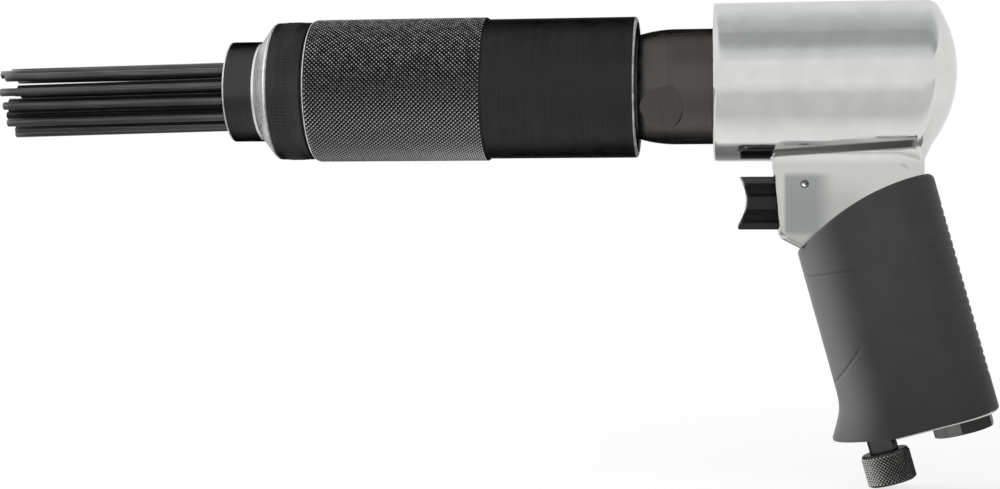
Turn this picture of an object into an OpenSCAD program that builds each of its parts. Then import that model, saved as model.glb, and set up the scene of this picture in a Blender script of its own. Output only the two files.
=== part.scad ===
// Pistol-grip air needle scaler, in millimetres.
// The origin is the centre of the nose collar's front face. +X runs back along the
// barrel to the housing, +Z is up, and the grip hangs down from the housing.

/* [Needles] */
// Needle diameter
needle_d = 3; // [2:0.1:3.6]
// Needle length, tip to the back of its head
needle_l = 180; // [170:1:190]
// Reach of the longest-standing needle in front of the nose
needle_reach = 94.7; // [85:0.1:105]
// Needle head diameter
needle_head_d = 4.8; // [4:0.1:5.4]
// Needle head thickness
needle_head_l = 3; // [2:0.1:4]
// Free travel of a needle between holder and anvil
needle_play = 8; // [4:0.5:10]
// Radius of the inner ring of needles
inner_ring_r = 6; // [5.6:0.1:6.2]
// Radius of the outer ring of needles
outer_ring_r = 11.9; // [11.5:0.1:12.2]
// Sag of the needle bundle below the barrel axis, in degrees
bundle_droop = 0.95; // [0:0.05:1.1]
// Largest lean of one needle away from the bundle, in degrees
needle_lean = 0.35; // [0:0.05:0.4]

/* [Nose] */
// Outside diameter of the nose collar
collar_d = 37.9; // [37:0.1:39]
// Length of the nose collar in front of the shoulder
collar_l = 10.8; // [8:0.1:14]
// Bore of the nose collar
collar_bore_d = 31.2; // [30.6:0.1:32]
// Wall of the collar's threaded spigot
collar_spigot_wall = 2; // [1.5:0.1:2.6]
// Length of the polished shoulder
shoulder_l = 7.1; // [6:0.1:8]
// Step down from the collar to the land at the foot of the shoulder's cone
land_relief = 0.5; // [0.4:0.1:0.7]
// Slope of the shoulder's cone to the barrel axis, in degrees
shoulder_angle = 52; // [50:1:54]
// Radius that rounds the cone over into the lock ring
shoulder_round_r = 2.5; // [2:0.1:3]
// How far that round runs on over the front of the lock ring
shoulder_round_run = 1.1; // [0.8:0.1:1.3]
// Diameter of the lock ring and of the shoulder behind the nose
lock_ring_d = 52.2; // [51.5:0.1:53]
// Length of the lock ring
lock_ring_l = 13.1; // [10:0.1:16]
// Width of the groove between lock ring and knurled sleeve
groove_l = 1.1; // [0.6:0.1:2]
// Depth of that groove
groove_depth = 1.4; // [0.8:0.1:2]

/* [Sleeves] */
// Diameter of the knurled sleeve
knurl_d = 53.65; // [53:0.05:55]
// Length of the knurled sleeve
knurl_l = 66.1; // [60:0.1:72]
// Diameter of the smooth rear sleeve
rear_sleeve_d = 52.1; // [51.5:0.1:53]
// Length of the smooth rear sleeve
rear_sleeve_l = 55.7; // [50:0.1:60]
// Edge radius at the back of the rear sleeve
rear_edge_r = 1.2; // [0.6:0.1:1.4]
// Bore that the needle holder and anvil slide in
guide_bore_d = 42.6; // [42.2:0.1:43]
// Diameter of the threads that join the front pieces
joint_thread_d = 47.4; // [47:0.1:48]
// Length of the thread on the back of the shoulder cap, inside the knurled sleeve
cap_engage_l = 4; // [3:0.5:6]
// Length of the thread on the front of the rear sleeve
tail_l = 12; // [9:0.5:14]
// Open bore round the barrel at the back of the rear sleeve
open_bore_d = 48.4; // [46:0.1:49]
// Depth of that open bore
open_bore_l = 16; // [12:0.5:20]

/* [Needle holder and anvil] */
// Thickness of the needle holder's plate
holder_plate_l = 10; // [8:0.5:12]
// Wall of the skirt behind the plate
holder_skirt_wall = 2.4; // [2:0.1:3]
// Radial clearance of a needle in its hole
needle_clearance = 0.3; // [0.25:0.05:0.4]
// Radial clearance of the holder and anvil in the sleeves
guide_clearance = 0.3; // [0.2:0.05:0.5]
// Forward stroke of the anvil and holder against the spring
anvil_stroke = 6; // [3:0.5:7]
// Thickness of the anvil's head
anvil_head_l = 10.4; // [8:0.1:13]
// Length of the anvil's shank in the barrel
anvil_shank_l = 24; // [18:0.5:28]
// Wire of the return spring
needle_spring_wire = 2.4; // [2:0.1:2.8]
// Coils of the return spring
needle_spring_turns = 7; // [5:1:8]

/* [Barrel and piston] */
// Bore of the barrel
barrel_bore_d = 19; // [18:0.1:20]
// Radial running clearance of piston and anvil in the barrel
bore_clearance = 0.05; // [0.02:0.01:0.1]
// Diameter of the thread inside the rear sleeve
barrel_thread_d = 40; // [39.6:0.1:41]
// Diameter of the waist behind the rear sleeve
waist_d = 38.6; // [37:0.1:39.4]
// Largest diameter of the barrel
barrel_d = 42.5; // [41.6:0.1:44]
// Length of the barrel in front of the housing
barrel_l = 77.7; // [72:0.1:84]
// Length of the straight stretch in front of the housing
barrel_straight_l = 13.7; // [10:0.1:15]
// Radius of the flare from the waist to the straight stretch
flare_r = 48; // [40:1:60]
// Diameter of the thread inside the housing
spigot_d = 38; // [36:0.1:39]
// Length of the thread inside the housing
spigot_l = 24.3; // [18:0.1:28]
// Depth of the wrench flats
flat_depth = 1.7; // [1:0.1:1.9]
// Radius of the wrench flats' round ends
flat_end_r = 11; // [9:0.5:13]
// Distance from the housing to the round ends
flat_gap = 10.7; // [8:0.1:14]
// Turn of the wrench flats about the barrel, in degrees
flat_turn = 116; // [90:1:140]
// Length of the piston
piston_l = 32; // [26:0.5:36]
// Gap between piston and valve block at rest
piston_gap = 2; // [1:0.1:3]

/* [Valve] */
// Length of the valve block behind the barrel
valve_block_l = 10; // [8:0.5:12]
// Length of the valve cap
valve_cap_l = 9; // [7:0.5:10]
// Thickness of the valve disc
valve_disc_l = 1.4; // [1:0.1:2]
// Diameter of the valve disc
valve_disc_d = 19.4; // [17:0.1:22]
// Travel of the valve disc
valve_travel = 0.8; // [0.5:0.1:1.2]
// Clearance that is left round the valve disc
valve_clearance = 0.3; // [0.2:0.05:0.4]

/* [Housing] */
// Diameter of the housing's round body
body_d = 58.2; // [56:0.1:62]
// Length of the body with its dome
body_l = 87.2; // [82:0.1:92]
// Rise of the body's centre above the barrel axis
body_rise = 1.4; // [0:0.1:2]
// Radius of the dome at the back
dome_r = 44; // [40:1:50]
// Radius of the edge between the body's side and the dome
dome_edge_r = 4; // [2:0.1:5]
// Distance from the body's front to the neck
neck_setback = 21.1; // [19:0.1:22]
// Length of the neck under the body
neck_l = 54.2; // [52:0.1:55]
// Width of the neck and of the core inside the grip
neck_w = 24.6; // [24.2:0.1:28]
// Depth of the neck's front below the barrel axis
neck_drop = 55.8; // [55.4:0.1:57]
// Backward lean of the neck's front
neck_rake = 2.4; // [1:0.1:3]
// Length of the slanted chin
chin_l = 6.9; // [6:0.1:8]
// Drop of the slanted chin
chin_drop = 3.5; // [3:0.1:4]
// Fillet between body and neck
neck_fillet_r = 2; // [1:0.1:5]
// Radius of the neck's front edges
neck_edge_r = 3; // [2:0.1:4]

/* [Grip] */
// Tilt of the grip, in degrees
grip_tilt = 15.5; // [14:0.1:16.5]
// Distance from the neck's front to the grip's middle, at the trigger's height
grip_setback = 32.4; // [31.6:0.1:33]
// Depth of the grip, front to back
grip_depth = 54; // [53:0.1:56]
// Width of the grip
grip_w = 37; // [36:0.1:40]
// Edge radius of the grip's section
grip_edge_r = 16; // [14:0.1:17]
// Thickness of the rubber
rubber_t = 4; // [3.5:0.1:4.4]
// Length of the grip below the trigger's axis
grip_l = 83.9; // [82:0.1:88]
// Radius of the rubber's swept top edge
top_sweep_r = 80; // [78:0.5:84]
// Height of the top edge's crest above the trigger's axis
top_crest = 4.1; // [3:0.1:5]
// Distance of the crest behind the grip's middle
top_crest_back = 20; // [18:0.1:22]
// Height at which the toe starts, above the base
toe_h = 18; // [14:0.1:22]
// Lean of the toe, in degrees
toe_lean = 25; // [15:0.5:27]
// Inset of the toe's sides from the grip's
toe_inset = 0.4; // [0.2:0.1:0.8]
// Trim that the base takes off the toe's tip
toe_trim = 4; // [3:0.1:6]
// Number of ribs on the back of the grip
rib_count = 21; // [12:1:22]
// Pitch of the ribs
rib_pitch = 3.05; // [2.6:0.01:3.1]
// Width of a groove between two ribs
rib_groove_w = 1.2; // [0.8:0.1:1.6]
// Depth of a groove between two ribs
rib_depth = 0.7; // [0.4:0.1:1]
// Reach of the grooves round the back of the grip
rib_reach = 9; // [6:0.1:12]
// Height of the lowest groove above the base
rib_start = 13.5; // [12:0.1:15]
// Thickness of the casting's lip under the rubber
lip_t = 0.4; // [0.3:0.1:1]

/* [Trigger] */
// Height of the trigger's axis below the barrel axis
trigger_drop = 43.2; // [42:0.1:44]
// Height of the trigger
trigger_h = 19.2; // [18:0.1:20]
// Width of the trigger
trigger_w = 15; // [13:0.1:17]
// Length of the trigger
trigger_l = 27.4; // [26:0.1:28]
// Reach of the trigger in front of the neck
trigger_reach = 12.3; // [10:0.1:14]
// Radius of the hollow finger face
finger_r = 15.4; // [13:0.1:20]
// Depth of the hollow finger face
finger_depth = 2.9; // [1.5:0.1:4]
// Rise of the hollow above the trigger's middle
finger_rise = 1.3; // [0:0.1:2]
// Radius of the flutes along the trigger's sides
flute_r = 3.2; // [2:0.1:4]
// Depth of the flutes
flute_depth = 1.1; // [0.5:0.1:1.5]
// Travel of the trigger
trigger_travel = 5; // [3:0.1:5.3]
// Clearance round the trigger
trigger_clearance = 0.3; // [0.2:0.05:0.5]
// Diameter of the retaining roll pin
pin_d = 3.1; // [2:0.1:3.2]
// Wall of the roll pin
pin_wall = 0.6; // [0.4:0.05:0.8]
// Slit of the roll pin
pin_slit = 0.5; // [0.3:0.05:0.8]
// Height of the roll pin above the trigger's axis
pin_rise = 6.7; // [6:0.1:6.8]
// Distance of the roll pin from the back of the trigger
pin_inset = 3.6; // [3:0.1:3.7]

/* [Throttle] */
// Diameter of the throttle stem
stem_d = 4; // [3:0.1:4.4]
// Diameter of the stem's valve head
stem_head_d = 9.2; // [8:0.1:10]
// Thickness of the stem's valve head
stem_head_l = 3; // [2:0.1:4]
// Diameter of the throttle seat
seat_d = 13; // [12:0.1:14]
// Length of the throttle seat
seat_l = 6.5; // [5.5:0.1:7.5]
// Clearance of the stem in its seat
stem_clearance = 0.3; // [0.2:0.05:0.4]
// Section of the throttle seal
seal_d = 1.4; // [1:0.1:1.6]
// Wire of the throttle spring
throttle_spring_wire = 0.9; // [0.7:0.05:1]
// Coils of the throttle spring
throttle_spring_turns = 5; // [4:1:6]
// Length of the throttle spring
throttle_spring_l = 11.5; // [11:0.1:14]
// Diameter of the drilled air passages
passage_d = 5; // [4:0.1:6]

/* [Regulator and inlet] */
// Distance of the regulator's axis from the front of the grip's core
regulator_inset = 6.7; // [6.4:0.1:7]
// Diameter of the regulator knob
knob_d = 17.8; // [15:0.1:20]
// Length of the regulator knob
knob_l = 11.7; // [9:0.1:14]
// Slope on the edges of the regulator knob
knob_bevel = 0.8; // [0.8:0.1:2.4]
// Diameter of the regulator's stem
regulator_d = 10.5; // [9.5:0.1:10.8]
// Length of stem that shows between base and knob
regulator_gap = 4.8; // [4:0.1:6]
// Depth of the regulator's bore
regulator_depth = 33.5; // [30:0.5:38]
// Radial clearance of the regulator in its bore
regulator_clearance = 0.1; // [0.05:0.01:0.2]
// Travel of the regulator as it is screwed in
regulator_travel = 3; // [2:0.1:3.4]
// Section of the regulator's seal
regulator_seal_d = 1.6; // [1.2:0.1:1.8]
// Distance of the inlet's axis from the back of the grip's core
inlet_inset = 9.7; // [9.4:0.1:10.4]
// Width of the inlet hexagon across its flats
hex_af = 20.6; // [19:0.1:22]
// Height of the inlet hexagon
hex_h = 5.1; // [3:0.1:6]
// Turn of the inlet hexagon, in degrees
hex_turn = 20; // [0:1:60]
// Minor diameter of the inlet thread
inlet_bore_d = 11.12; // [10:0.01:12]
// Length of the inlet thread
inlet_bore_l = 12; // [10:0.5:14]
// Diameter of the bushing's body in the casting
bushing_d = 18; // [16:0.1:18.4]
// Length of the bushing's body
bushing_l = 13.5; // [12:0.5:16]
// Thickness of the inlet screen
screen_t = 1; // [0.6:0.1:1.4]
// Diameter of a hole in the screen
screen_hole_d = 1.6; // [1:0.1:2]

/* [Hidden] */
// Radial gap that is left in every fixed thread and seat
fit_gap = 0.05;
// Gap between needle heads and anvil at the end of their travel
strike_gap = 0.3;
// Small chamfer on turned edges
edge_bevel = 0.6;
// Overrun of every cut
over = 1;
// Height of the little flat in the middle of the dome
dome_flat = 0.05;
// Rings to a coil and sides to the wire of a spring
coil_rings = 12;
coil_sides = 6;
$fn = 96;

// How far back each needle stands in its free travel, centre first, then inner and outer ring
stand_shares = [
    0.45,
    0.93, 0.98, 0.74, 0.38, 0.53, 0.8,
    0.2, 0.75, 0.63, 0.77, 0.86, 0.97, 0.62, 0.7, 0.25, 0.55, 0.45, 0.46
];
// How far each needle leans down, and towards +Y, of the largest lean
pitch_shares = [
    0.1,
    1, -0.2, 0.4, -0.85, 0.2, -0.3,
    0.97, -0.2, 0.3, -0.65, 0.3, -0.4, 0.5, -0.1, 0.6, -0.5, -1, -0.2
];
yaw_shares = [
    -0.2,
    0.5, -0.4, 0.1, 0.3, -0.6, 0.2,
    -0.5, 0.4, 0.2, -0.3, 0.6, 0.1, -0.4, 0.5, -0.2, 0.3, -0.6, 0.4
];

inner_count = 6;
outer_count = 12;
needle_count = 1 + inner_count + outer_count;

// Radii of the turned pieces
collar_r = collar_d / 2;
collar_bore_r = collar_bore_d / 2;
collar_spigot_r = collar_bore_r + collar_spigot_wall;
lock_ring_r = lock_ring_d / 2;
knurl_r = knurl_d / 2;
rear_sleeve_r = rear_sleeve_d / 2;
guide_r = guide_bore_d / 2;
joint_r = joint_thread_d / 2;
open_r = open_bore_d / 2;
slider_r = guide_r - guide_clearance;
bore_r = barrel_bore_d / 2;
ram_r = bore_r - bore_clearance;
thread_r = barrel_thread_d / 2;
waist_r = waist_d / 2;
barrel_r = barrel_d / 2;
spigot_r = spigot_d / 2;
body_r = body_d / 2;

// Places along the barrel axis
x_shoulder = collar_l;
x_ring = x_shoulder + shoulder_l;
x_knurl = x_ring + lock_ring_l + groove_l;
x_cap_end = x_knurl + cap_engage_l;
x_rear = x_knurl + knurl_l;
x_rear_end = x_rear + rear_sleeve_l;
x_open = x_rear_end - open_bore_l;
x_plate = needle_l - needle_head_l - needle_reach;
x_anvil = x_plate + needle_head_l + needle_play + strike_gap;
x_barrel = x_anvil + anvil_head_l;
x_housing = x_barrel + barrel_l;
x_straight = x_housing - barrel_straight_l;
x_spigot_end = x_housing + spigot_l;
x_valve_cap = x_spigot_end + valve_block_l;
x_stack_end = x_valve_cap + valve_cap_l;
x_body_end = x_housing + body_l;
x_neck = x_housing + neck_setback;
x_neck_end = x_neck + neck_l;
x_grip = x_neck + grip_setback;

// Trigger and throttle, along X at the trigger's height
z_trigger = -trigger_drop;
x_trigger = x_neck - trigger_reach;
x_trigger_end = x_trigger + trigger_l;
x_pin = x_trigger_end - pin_inset;
x_pocket_end = x_trigger_end + trigger_travel + trigger_clearance;
x_seat_end = x_pocket_end + seat_l;
x_stem_head = x_seat_end + seal_d + fit_gap;
x_stem_end = x_stem_head + stem_head_l;
x_chamber_end = x_stem_end + throttle_spring_l + fit_gap;
seal_mean_r = stem_d / 2 + seal_d;
throttle_spring_r = stem_head_d / 2 - throttle_spring_wire;

// Recess that the valve disc shuttles in, and the disc in the middle of it
disc_r = valve_disc_d / 2;
recess_l = valve_disc_l + valve_travel + 2 * valve_clearance;
x_disc = x_valve_cap - recess_l / 2 - valve_disc_l / 2;

// Grip frame: u runs backwards across the grip, w runs up along it
core_depth = grip_depth - 2 * rubber_t;
core_edge_r = grip_edge_r - rubber_t;
core_rise = trigger_drop / 2;
regulator_ahead = core_depth / 2 - regulator_inset;
inlet_back = core_depth / 2 - inlet_inset;
w_base = -grip_l;
w_lip = w_base - lip_t;
w_toe = w_base + toe_h;
w_knob = w_lip - regulator_gap;
regulator_r = regulator_d / 2;
seal_groove_r = regulator_r - regulator_seal_d;
w_seal = w_lip + regulator_depth / 2;
w_hex_end = w_lip - hex_h;
w_bushing = w_lip + bushing_l;
w_bore_end = w_lip + regulator_depth;
w_port = w_bore_end - passage_d;

// Riser from the regulator's bore up to the throttle
x_riser = x_grip - regulator_ahead * cos(grip_tilt) - w_bore_end * sin(grip_tilt);
z_riser = z_trigger - regulator_ahead * sin(grip_tilt) + w_bore_end * cos(grip_tilt);

// Turns a profile of (radius, place along the axis) about the barrel axis
module turned() {
    rotate([0, 90, 0]) rotate_extrude() children();
}

// Straight stretch of a profile, between two radii and two places
module band(r0, r1, x0, x1) {
    translate([r0, x0]) square([r1 - r0, x1 - x0]);
}

// Chamfer cut for a profile's corner
module bevel(r, x, size = edge_bevel) {
    translate([r, x]) rotate(45) square(size * sqrt(2), center = true);
}

// Solid rod along X, at the height of the trigger or of the barrel
module rod(x0, x1, d, z = 0) {
    translate([x0, 0, z]) rotate([0, 90, 0]) cylinder(d = d, h = x1 - x0);
}

// Extrudes a side view, drawn in x and z, to a width
module side_view(width) {
    rotate([90, 0, 0]) linear_extrude(height = width, center = true) children();
}

// Places children in the grip's frame
module in_grip() {
    translate([x_grip, 0, z_trigger]) rotate([0, -grip_tilt, 0]) children();
}

// Places a side view that is drawn in the grip's frame
module grip_view() {
    translate([x_grip, z_trigger]) rotate(grip_tilt) children();
}

// Rectangle with round corners, centred
module rounded_rect(depth, width, r) {
    square([depth - 2 * r, width], center = true);
    square([depth, width - 2 * r], center = true);
    for (su = [-1, 1], sy = [-1, 1]) {
        translate([su * (depth / 2 - r), sy * (width / 2 - r)]) rotate(atan2(-sy, -su)) circle(r = r);
    }
}

// Column along the grip, between two heights
module column(depth, width, r, w0, w1) {
    translate([0, 0, w0]) linear_extrude(height = w1 - w0) rounded_rect(depth, width, r);
}

// Upright cylinder in the grip's frame
module grip_rod(u, w0, w1, d) {
    translate([u, 0, w0]) cylinder(d = d, h = w1 - w0);
}

// Coil spring along Z, from 0 to its length
function coil_lift(length, wire, turns) = (length - wire) / turns;

module coil(length, mean_r, wire, turns) {
    steps = turns * coil_rings;
    wire_r = wire / 2;
    lift = coil_lift(length, wire, turns) / coil_rings;
    points = [
        for (i = [0 : steps], k = [0 : coil_sides - 1])
            let (a = 360 * i / coil_rings, c = 360 * k / coil_sides, r = mean_r + wire_r * cos(c))
            [r * cos(a), r * sin(a), wire_r + lift * i + wire_r * sin(c)]
    ];
    sides = [
        for (i = [0 : steps - 1], k = [0 : coil_sides - 1], half = [0, 1])
            let (a = i * coil_sides, b = a + coil_sides, n = (k + 1) % coil_sides)
            half == 0 ? [a + k, b + n, a + n] : [a + k, b + k, b + n]
    ];
    last = steps * coil_sides;
    ends = [
        for (k = [1 : coil_sides - 2], far = [0, 1])
            far == 0 ? [0, k, k + 1] : [last, last + k + 1, last + k]
    ];
    polyhedron(points = points, faces = concat(sides, ends));
}

// Place of a needle in the bundle: ring radius and angle from the top towards -Y
function needle_r(i) = i == 0 ? 0 : i <= inner_count ? inner_ring_r : outer_ring_r;
function needle_turn(i) =
    i <= inner_count ? 360 * (i - 1) / inner_count : 360 * (i - inner_count - 0.5) / outer_count;

// Puts children on the axis of a needle, at the back of the holder's plate
module on_needle(i) {
    a = needle_turn(i);
    droop = bundle_droop + needle_lean * pitch_shares[i];
    translate([x_plate, -needle_r(i) * sin(a), needle_r(i) * cos(a)])
        rotate([0, -droop, needle_lean * yaw_shares[i]])
        children();
}

module nose_collar() {
    color("dimgray") turned() difference() {
        union() {
            band(collar_bore_r, collar_r, 0, x_shoulder);
            band(collar_bore_r, collar_spigot_r, 0, x_ring);
        }
        bevel(collar_bore_r, 0);
        bevel(collar_bore_r, x_ring);
    }
}

// Side of the nose behind the collar: a short land, then a cone that rounds over into the lock ring
module nose_side() {
    round_x = x_ring + shoulder_round_run;
    round_r = lock_ring_r - shoulder_round_r;
    cone_x = round_x - shoulder_round_r * sin(shoulder_angle);
    cone_r = round_r + shoulder_round_r * cos(shoulder_angle);
    land_r = collar_r - land_relief;
    foot_x = cone_x - (cone_r - land_r) / tan(shoulder_angle);
    band(0, land_r, x_shoulder, x_knurl);
    polygon([[0, foot_x], [land_r, foot_x], [cone_r, cone_x], [cone_r, round_x], [0, round_x]]);
    translate([round_r, round_x]) circle(r = shoulder_round_r);
    band(0, lock_ring_r, round_x, x_knurl);
}

module shoulder_cap() {
    cap_bore_r = collar_spigot_r + fit_gap;
    color("gainsboro") turned() {
        intersection() {
            band(cap_bore_r, lock_ring_r, x_shoulder, x_ring);
            nose_side();
        }
        band(cap_bore_r, joint_r, x_ring, x_cap_end);
    }
}

module lock_ring() {
    ring_end = x_ring + lock_ring_l;
    ring_bore_r = joint_r + fit_gap;
    color("#2c2c2e") turned() difference() {
        union() {
            intersection() {
                band(ring_bore_r, lock_ring_r, x_ring, ring_end);
                nose_side();
            }
            band(ring_bore_r, lock_ring_r - groove_depth, x_ring, x_knurl);
        }
        bevel(lock_ring_r, ring_end);
    }
}

module knurled_sleeve() {
    color("#343436") turned() difference() {
        band(guide_r, knurl_r, x_knurl, x_rear);
        band(0, joint_r + fit_gap, x_knurl - over, x_cap_end);
        band(0, joint_r + fit_gap, x_rear - tail_l, x_rear + over);
        bevel(knurl_r, x_knurl);
        bevel(knurl_r, x_rear);
    }
}

module rear_sleeve() {
    edge_x = x_rear_end - rear_edge_r;
    edge_place = [rear_sleeve_r - rear_edge_r, edge_x];
    color("#1e1e20") turned() difference() {
        union() {
            band(guide_r, joint_r, x_rear - tail_l, x_rear);
            band(thread_r + fit_gap, rear_sleeve_r, x_rear, x_rear_end);
        }
        band(0, guide_r, x_rear - over, x_barrel);
        band(0, open_r, x_open, x_rear_end + over);
        difference() {
            translate(edge_place) square(rear_edge_r + over);
            translate(edge_place) circle(r = rear_edge_r);
        }
    }
}

// Plate with a drilled hole on each needle's own axis, and a skirt back to the anvil
module needle_holder() {
    skirt_r = slider_r - holder_skirt_wall;
    hole_d = needle_d + 2 * needle_clearance;
    color("slategray") difference() {
        turned() {
            band(0, slider_r, x_plate - holder_plate_l, x_plate);
            band(skirt_r, slider_r, x_plate, x_anvil);
        }
        for (i = [0 : needle_count - 1]) {
            on_needle(i) rod(-holder_plate_l - over, over, hole_d);
        }
    }
}

module needle(i) {
    stand = needle_play * stand_shares[i];
    tip_bevel = needle_d / 10;
    color("#4a4c50") on_needle(i) translate([stand, 0, 0]) {
        rod(0, needle_head_l, needle_head_d);
        turned() difference() {
            band(0, needle_d / 2, needle_head_l - needle_l, 0);
            bevel(needle_d / 2, needle_head_l - needle_l, tip_bevel);
        }
    }
}

module needle_spring() {
    seat_gap = fit_gap;
    length = x_plate - holder_plate_l - x_cap_end - 2 * seat_gap;
    mean_r = (collar_spigot_r + guide_r) / 2;
    echo(needle_spring_gap =
        coil_lift(length, needle_spring_wire, needle_spring_turns) - needle_spring_wire);
    color("silver") translate([x_cap_end + seat_gap, 0, 0]) rotate([0, 90, 0])
        coil(length, mean_r, needle_spring_wire, needle_spring_turns);
}

module anvil() {
    shank_end = x_barrel + anvil_shank_l;
    color("lightsteelblue") turned() difference() {
        union() {
            band(0, slider_r, x_anvil, x_barrel);
            band(0, ram_r, x_anvil, shank_end);
        }
        bevel(slider_r, x_anvil);
        bevel(slider_r, x_barrel);
        bevel(ram_r, shank_end);
    }
}

// Round-ended flat, cut square to its own face; turned about the barrel in two places
module wrench_flats() {
    flat_x = x_housing - flat_gap - flat_end_r;
    flat_run = barrel_l;
    for (turn = [0, 180]) {
        rotate([flat_turn + turn, 0, 0]) translate([flat_x, 0, barrel_r - flat_depth])
            linear_extrude(height = flat_depth + over) {
                circle(r = flat_end_r);
                translate([-flat_run, -flat_end_r]) square([flat_run, 2 * flat_end_r]);
            }
    }
}

module barrel() {
    color("#3a3836") difference() {
        turned() difference() {
            union() {
                band(0, thread_r, x_barrel, x_open);
                band(0, waist_r, x_open, x_straight);
                intersection() {
                    band(0, barrel_r, x_open, x_straight);
                    translate([barrel_r - flare_r, x_straight]) circle(r = flare_r);
                }
                band(0, barrel_r, x_straight, x_housing);
                band(0, spigot_r, x_housing, x_spigot_end);
            }
            band(-over, bore_r, x_barrel - over, x_spigot_end + over);
            bevel(thread_r, x_barrel);
            bevel(spigot_r, x_spigot_end);
        }
        wrench_flats();
    }
}

module piston() {
    x_end = x_spigot_end - piston_gap;
    tail_r = ram_r - 2 * edge_bevel;
    color("lightsteelblue") turned() difference() {
        band(0, ram_r, x_end - piston_l, x_end);
        bevel(ram_r, x_end - piston_l);
        bevel(ram_r, x_end);
        band(0, tail_r / 2, x_end - piston_l / 3, x_end + over);
    }
}

// The valve disc shuttles in a recess between block and cap
module valve_block() {
    color("darkgray") turned() difference() {
        band(0, spigot_r, x_spigot_end, x_valve_cap);
        band(0, disc_r + valve_clearance, x_valve_cap - recess_l, x_valve_cap + over);
        band(0, bore_r / 2, x_spigot_end - over, x_valve_cap);
    }
}

module valve_disc() {
    color("silver") turned() band(0, disc_r, x_disc, x_disc + valve_disc_l);
}

module valve_cap() {
    color("darkgray") turned() difference() {
        band(0, spigot_r, x_valve_cap, x_stack_end);
        band(0, bore_r / 3, x_valve_cap - over, x_stack_end + over);
    }
}

// Round body with a domed back, centred a little above the barrel
module body_shape() {
    edge_r = body_r - dome_edge_r;
    dome_x = x_body_end + dome_flat - dome_r;
    edge_x = dome_x + sqrt(pow(dome_r - dome_edge_r, 2) - edge_r * edge_r);
    spread = asin(edge_r / (dome_r - dome_edge_r));
    far = 2 * dome_r;
    translate([0, 0, body_rise]) turned() {
        band(0, body_r, x_housing, edge_x);
        translate([edge_r, edge_x]) circle(r = dome_edge_r);
        intersection() {
            band(0, body_r, x_housing, x_body_end);
            translate([0, dome_x]) circle(r = dome_r);
            translate([0, dome_x]) polygon([[0, 0], [far * tan(spread), far], [0, far]]);
        }
    }
}

// Fillets that run along both sides of the neck, under the body, between its round edges
module neck_fillets() {
    reach = neck_w / 2 + neck_fillet_r;
    low = body_rise - sqrt(pow(body_r + neck_fillet_r, 2) - reach * reach);
    inset = 2 * neck_edge_r;
    translate([x_neck + inset, 0, 0]) rotate([90, 0, 90]) linear_extrude(height = neck_l - 2 * inset) {
        for (side = [-1, 1]) {
            difference() {
                polygon([[0, body_rise], [side * reach, low], [0, low]]);
                translate([side * reach, low]) circle(r = neck_fillet_r);
            }
        }
    }
}

// Circle that the rubber's top edge follows, in the grip's frame
module top_sweep(r) {
    translate([top_crest_back, top_crest - top_sweep_r]) circle(r = r);
}

// Neck from the body down to the rubber's top edge, with round front and back edges
module neck_shape() {
    x_chin = x_neck + neck_rake;
    chin_end = [x_chin + chin_l, -neck_drop - chin_drop];
    intersection() {
        side_view(neck_w) difference() {
            polygon([
                [x_neck, 0], [x_neck, -body_r + body_rise], [x_chin, -neck_drop], chin_end,
                [x_grip, -neck_drop - chin_drop], [x_neck_end, -trigger_drop], [x_neck_end, 0]
            ]);
            grip_view() top_sweep(top_sweep_r + fit_gap);
        }
        translate([x_neck + neck_l / 2, 0, -neck_drop - chin_drop - over])
            linear_extrude(height = neck_drop + chin_drop + 2 * over)
            rounded_rect(neck_l, neck_w, neck_edge_r);
    }
}

// Core of the casting that runs down inside the rubber to a thin lip at the base
module core_shape() {
    inset = rubber_t / 2;
    in_grip() {
        column(core_depth, neck_w, core_edge_r, w_lip, core_rise);
        intersection() {
            column(grip_depth - inset, grip_w - inset, grip_edge_r - inset, w_lip, w_base);
            translate([-core_depth / 4, -grip_w / 2, w_lip]) cube([grip_depth, grip_w, lip_t]);
        }
    }
}

module housing() {
    pocket_w = trigger_w + 2 * trigger_clearance;
    pocket_h = trigger_h + 2 * trigger_clearance;
    x_feed = x_pocket_end + seat_l / 2;
    color("lightgray") difference() {
        union() {
            body_shape();
            neck_fillets();
            neck_shape();
            core_shape();
        }
        rod(x_housing - over, x_stack_end, spigot_d + 2 * fit_gap);
        translate([x_neck - over, -pocket_w / 2, z_trigger - pocket_h / 2])
            cube([x_pocket_end - x_neck + over, pocket_w, pocket_h]);
        translate([x_pin, 0, z_trigger + pin_rise]) rotate([90, 0, 0])
            cylinder(d = pin_d + fit_gap, h = neck_w + 2 * over, center = true);
        rod(x_pocket_end - over, x_chamber_end, seat_d + 2 * fit_gap, z_trigger);
        translate([x_feed, 0, z_trigger]) cylinder(d = passage_d, h = trigger_drop);
        translate([x_riser, 0, z_riser - over]) cylinder(d = passage_d, h = z_trigger - z_riser + over);
        in_grip() {
            grip_rod(inlet_back, w_lip - over, w_bushing + screen_t, bushing_d + 2 * fit_gap);
            grip_rod(inlet_back, w_bushing, w_bore_end, inlet_bore_d);
            grip_rod(-regulator_ahead, w_lip - over, w_bore_end, regulator_d + 2 * regulator_clearance);
            translate([-regulator_ahead, 0, w_port]) rotate([0, 90, 0])
                cylinder(d = passage_d, h = regulator_ahead + inlet_back);
        }
    }
}

// Grooves that leave the ribs standing round the back of the grip
module rib_grooves() {
    reach_u = grip_depth / 2 - rib_reach;
    floor_depth = grip_depth - 2 * rib_depth;
    floor_w = grip_w - 2 * rib_depth;
    for (i = [0 : rib_count - 1]) {
        translate([0, 0, w_base + rib_start + i * rib_pitch]) linear_extrude(height = rib_groove_w)
            intersection() {
                difference() {
                    square([grip_depth + 2 * over, grip_w + 2 * over], center = true);
                    rounded_rect(floor_depth, floor_w, grip_edge_r - rib_depth);
                }
                translate([reach_u, -grip_w]) square([rib_reach + over, 2 * grip_w]);
            }
    }
}

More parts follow.
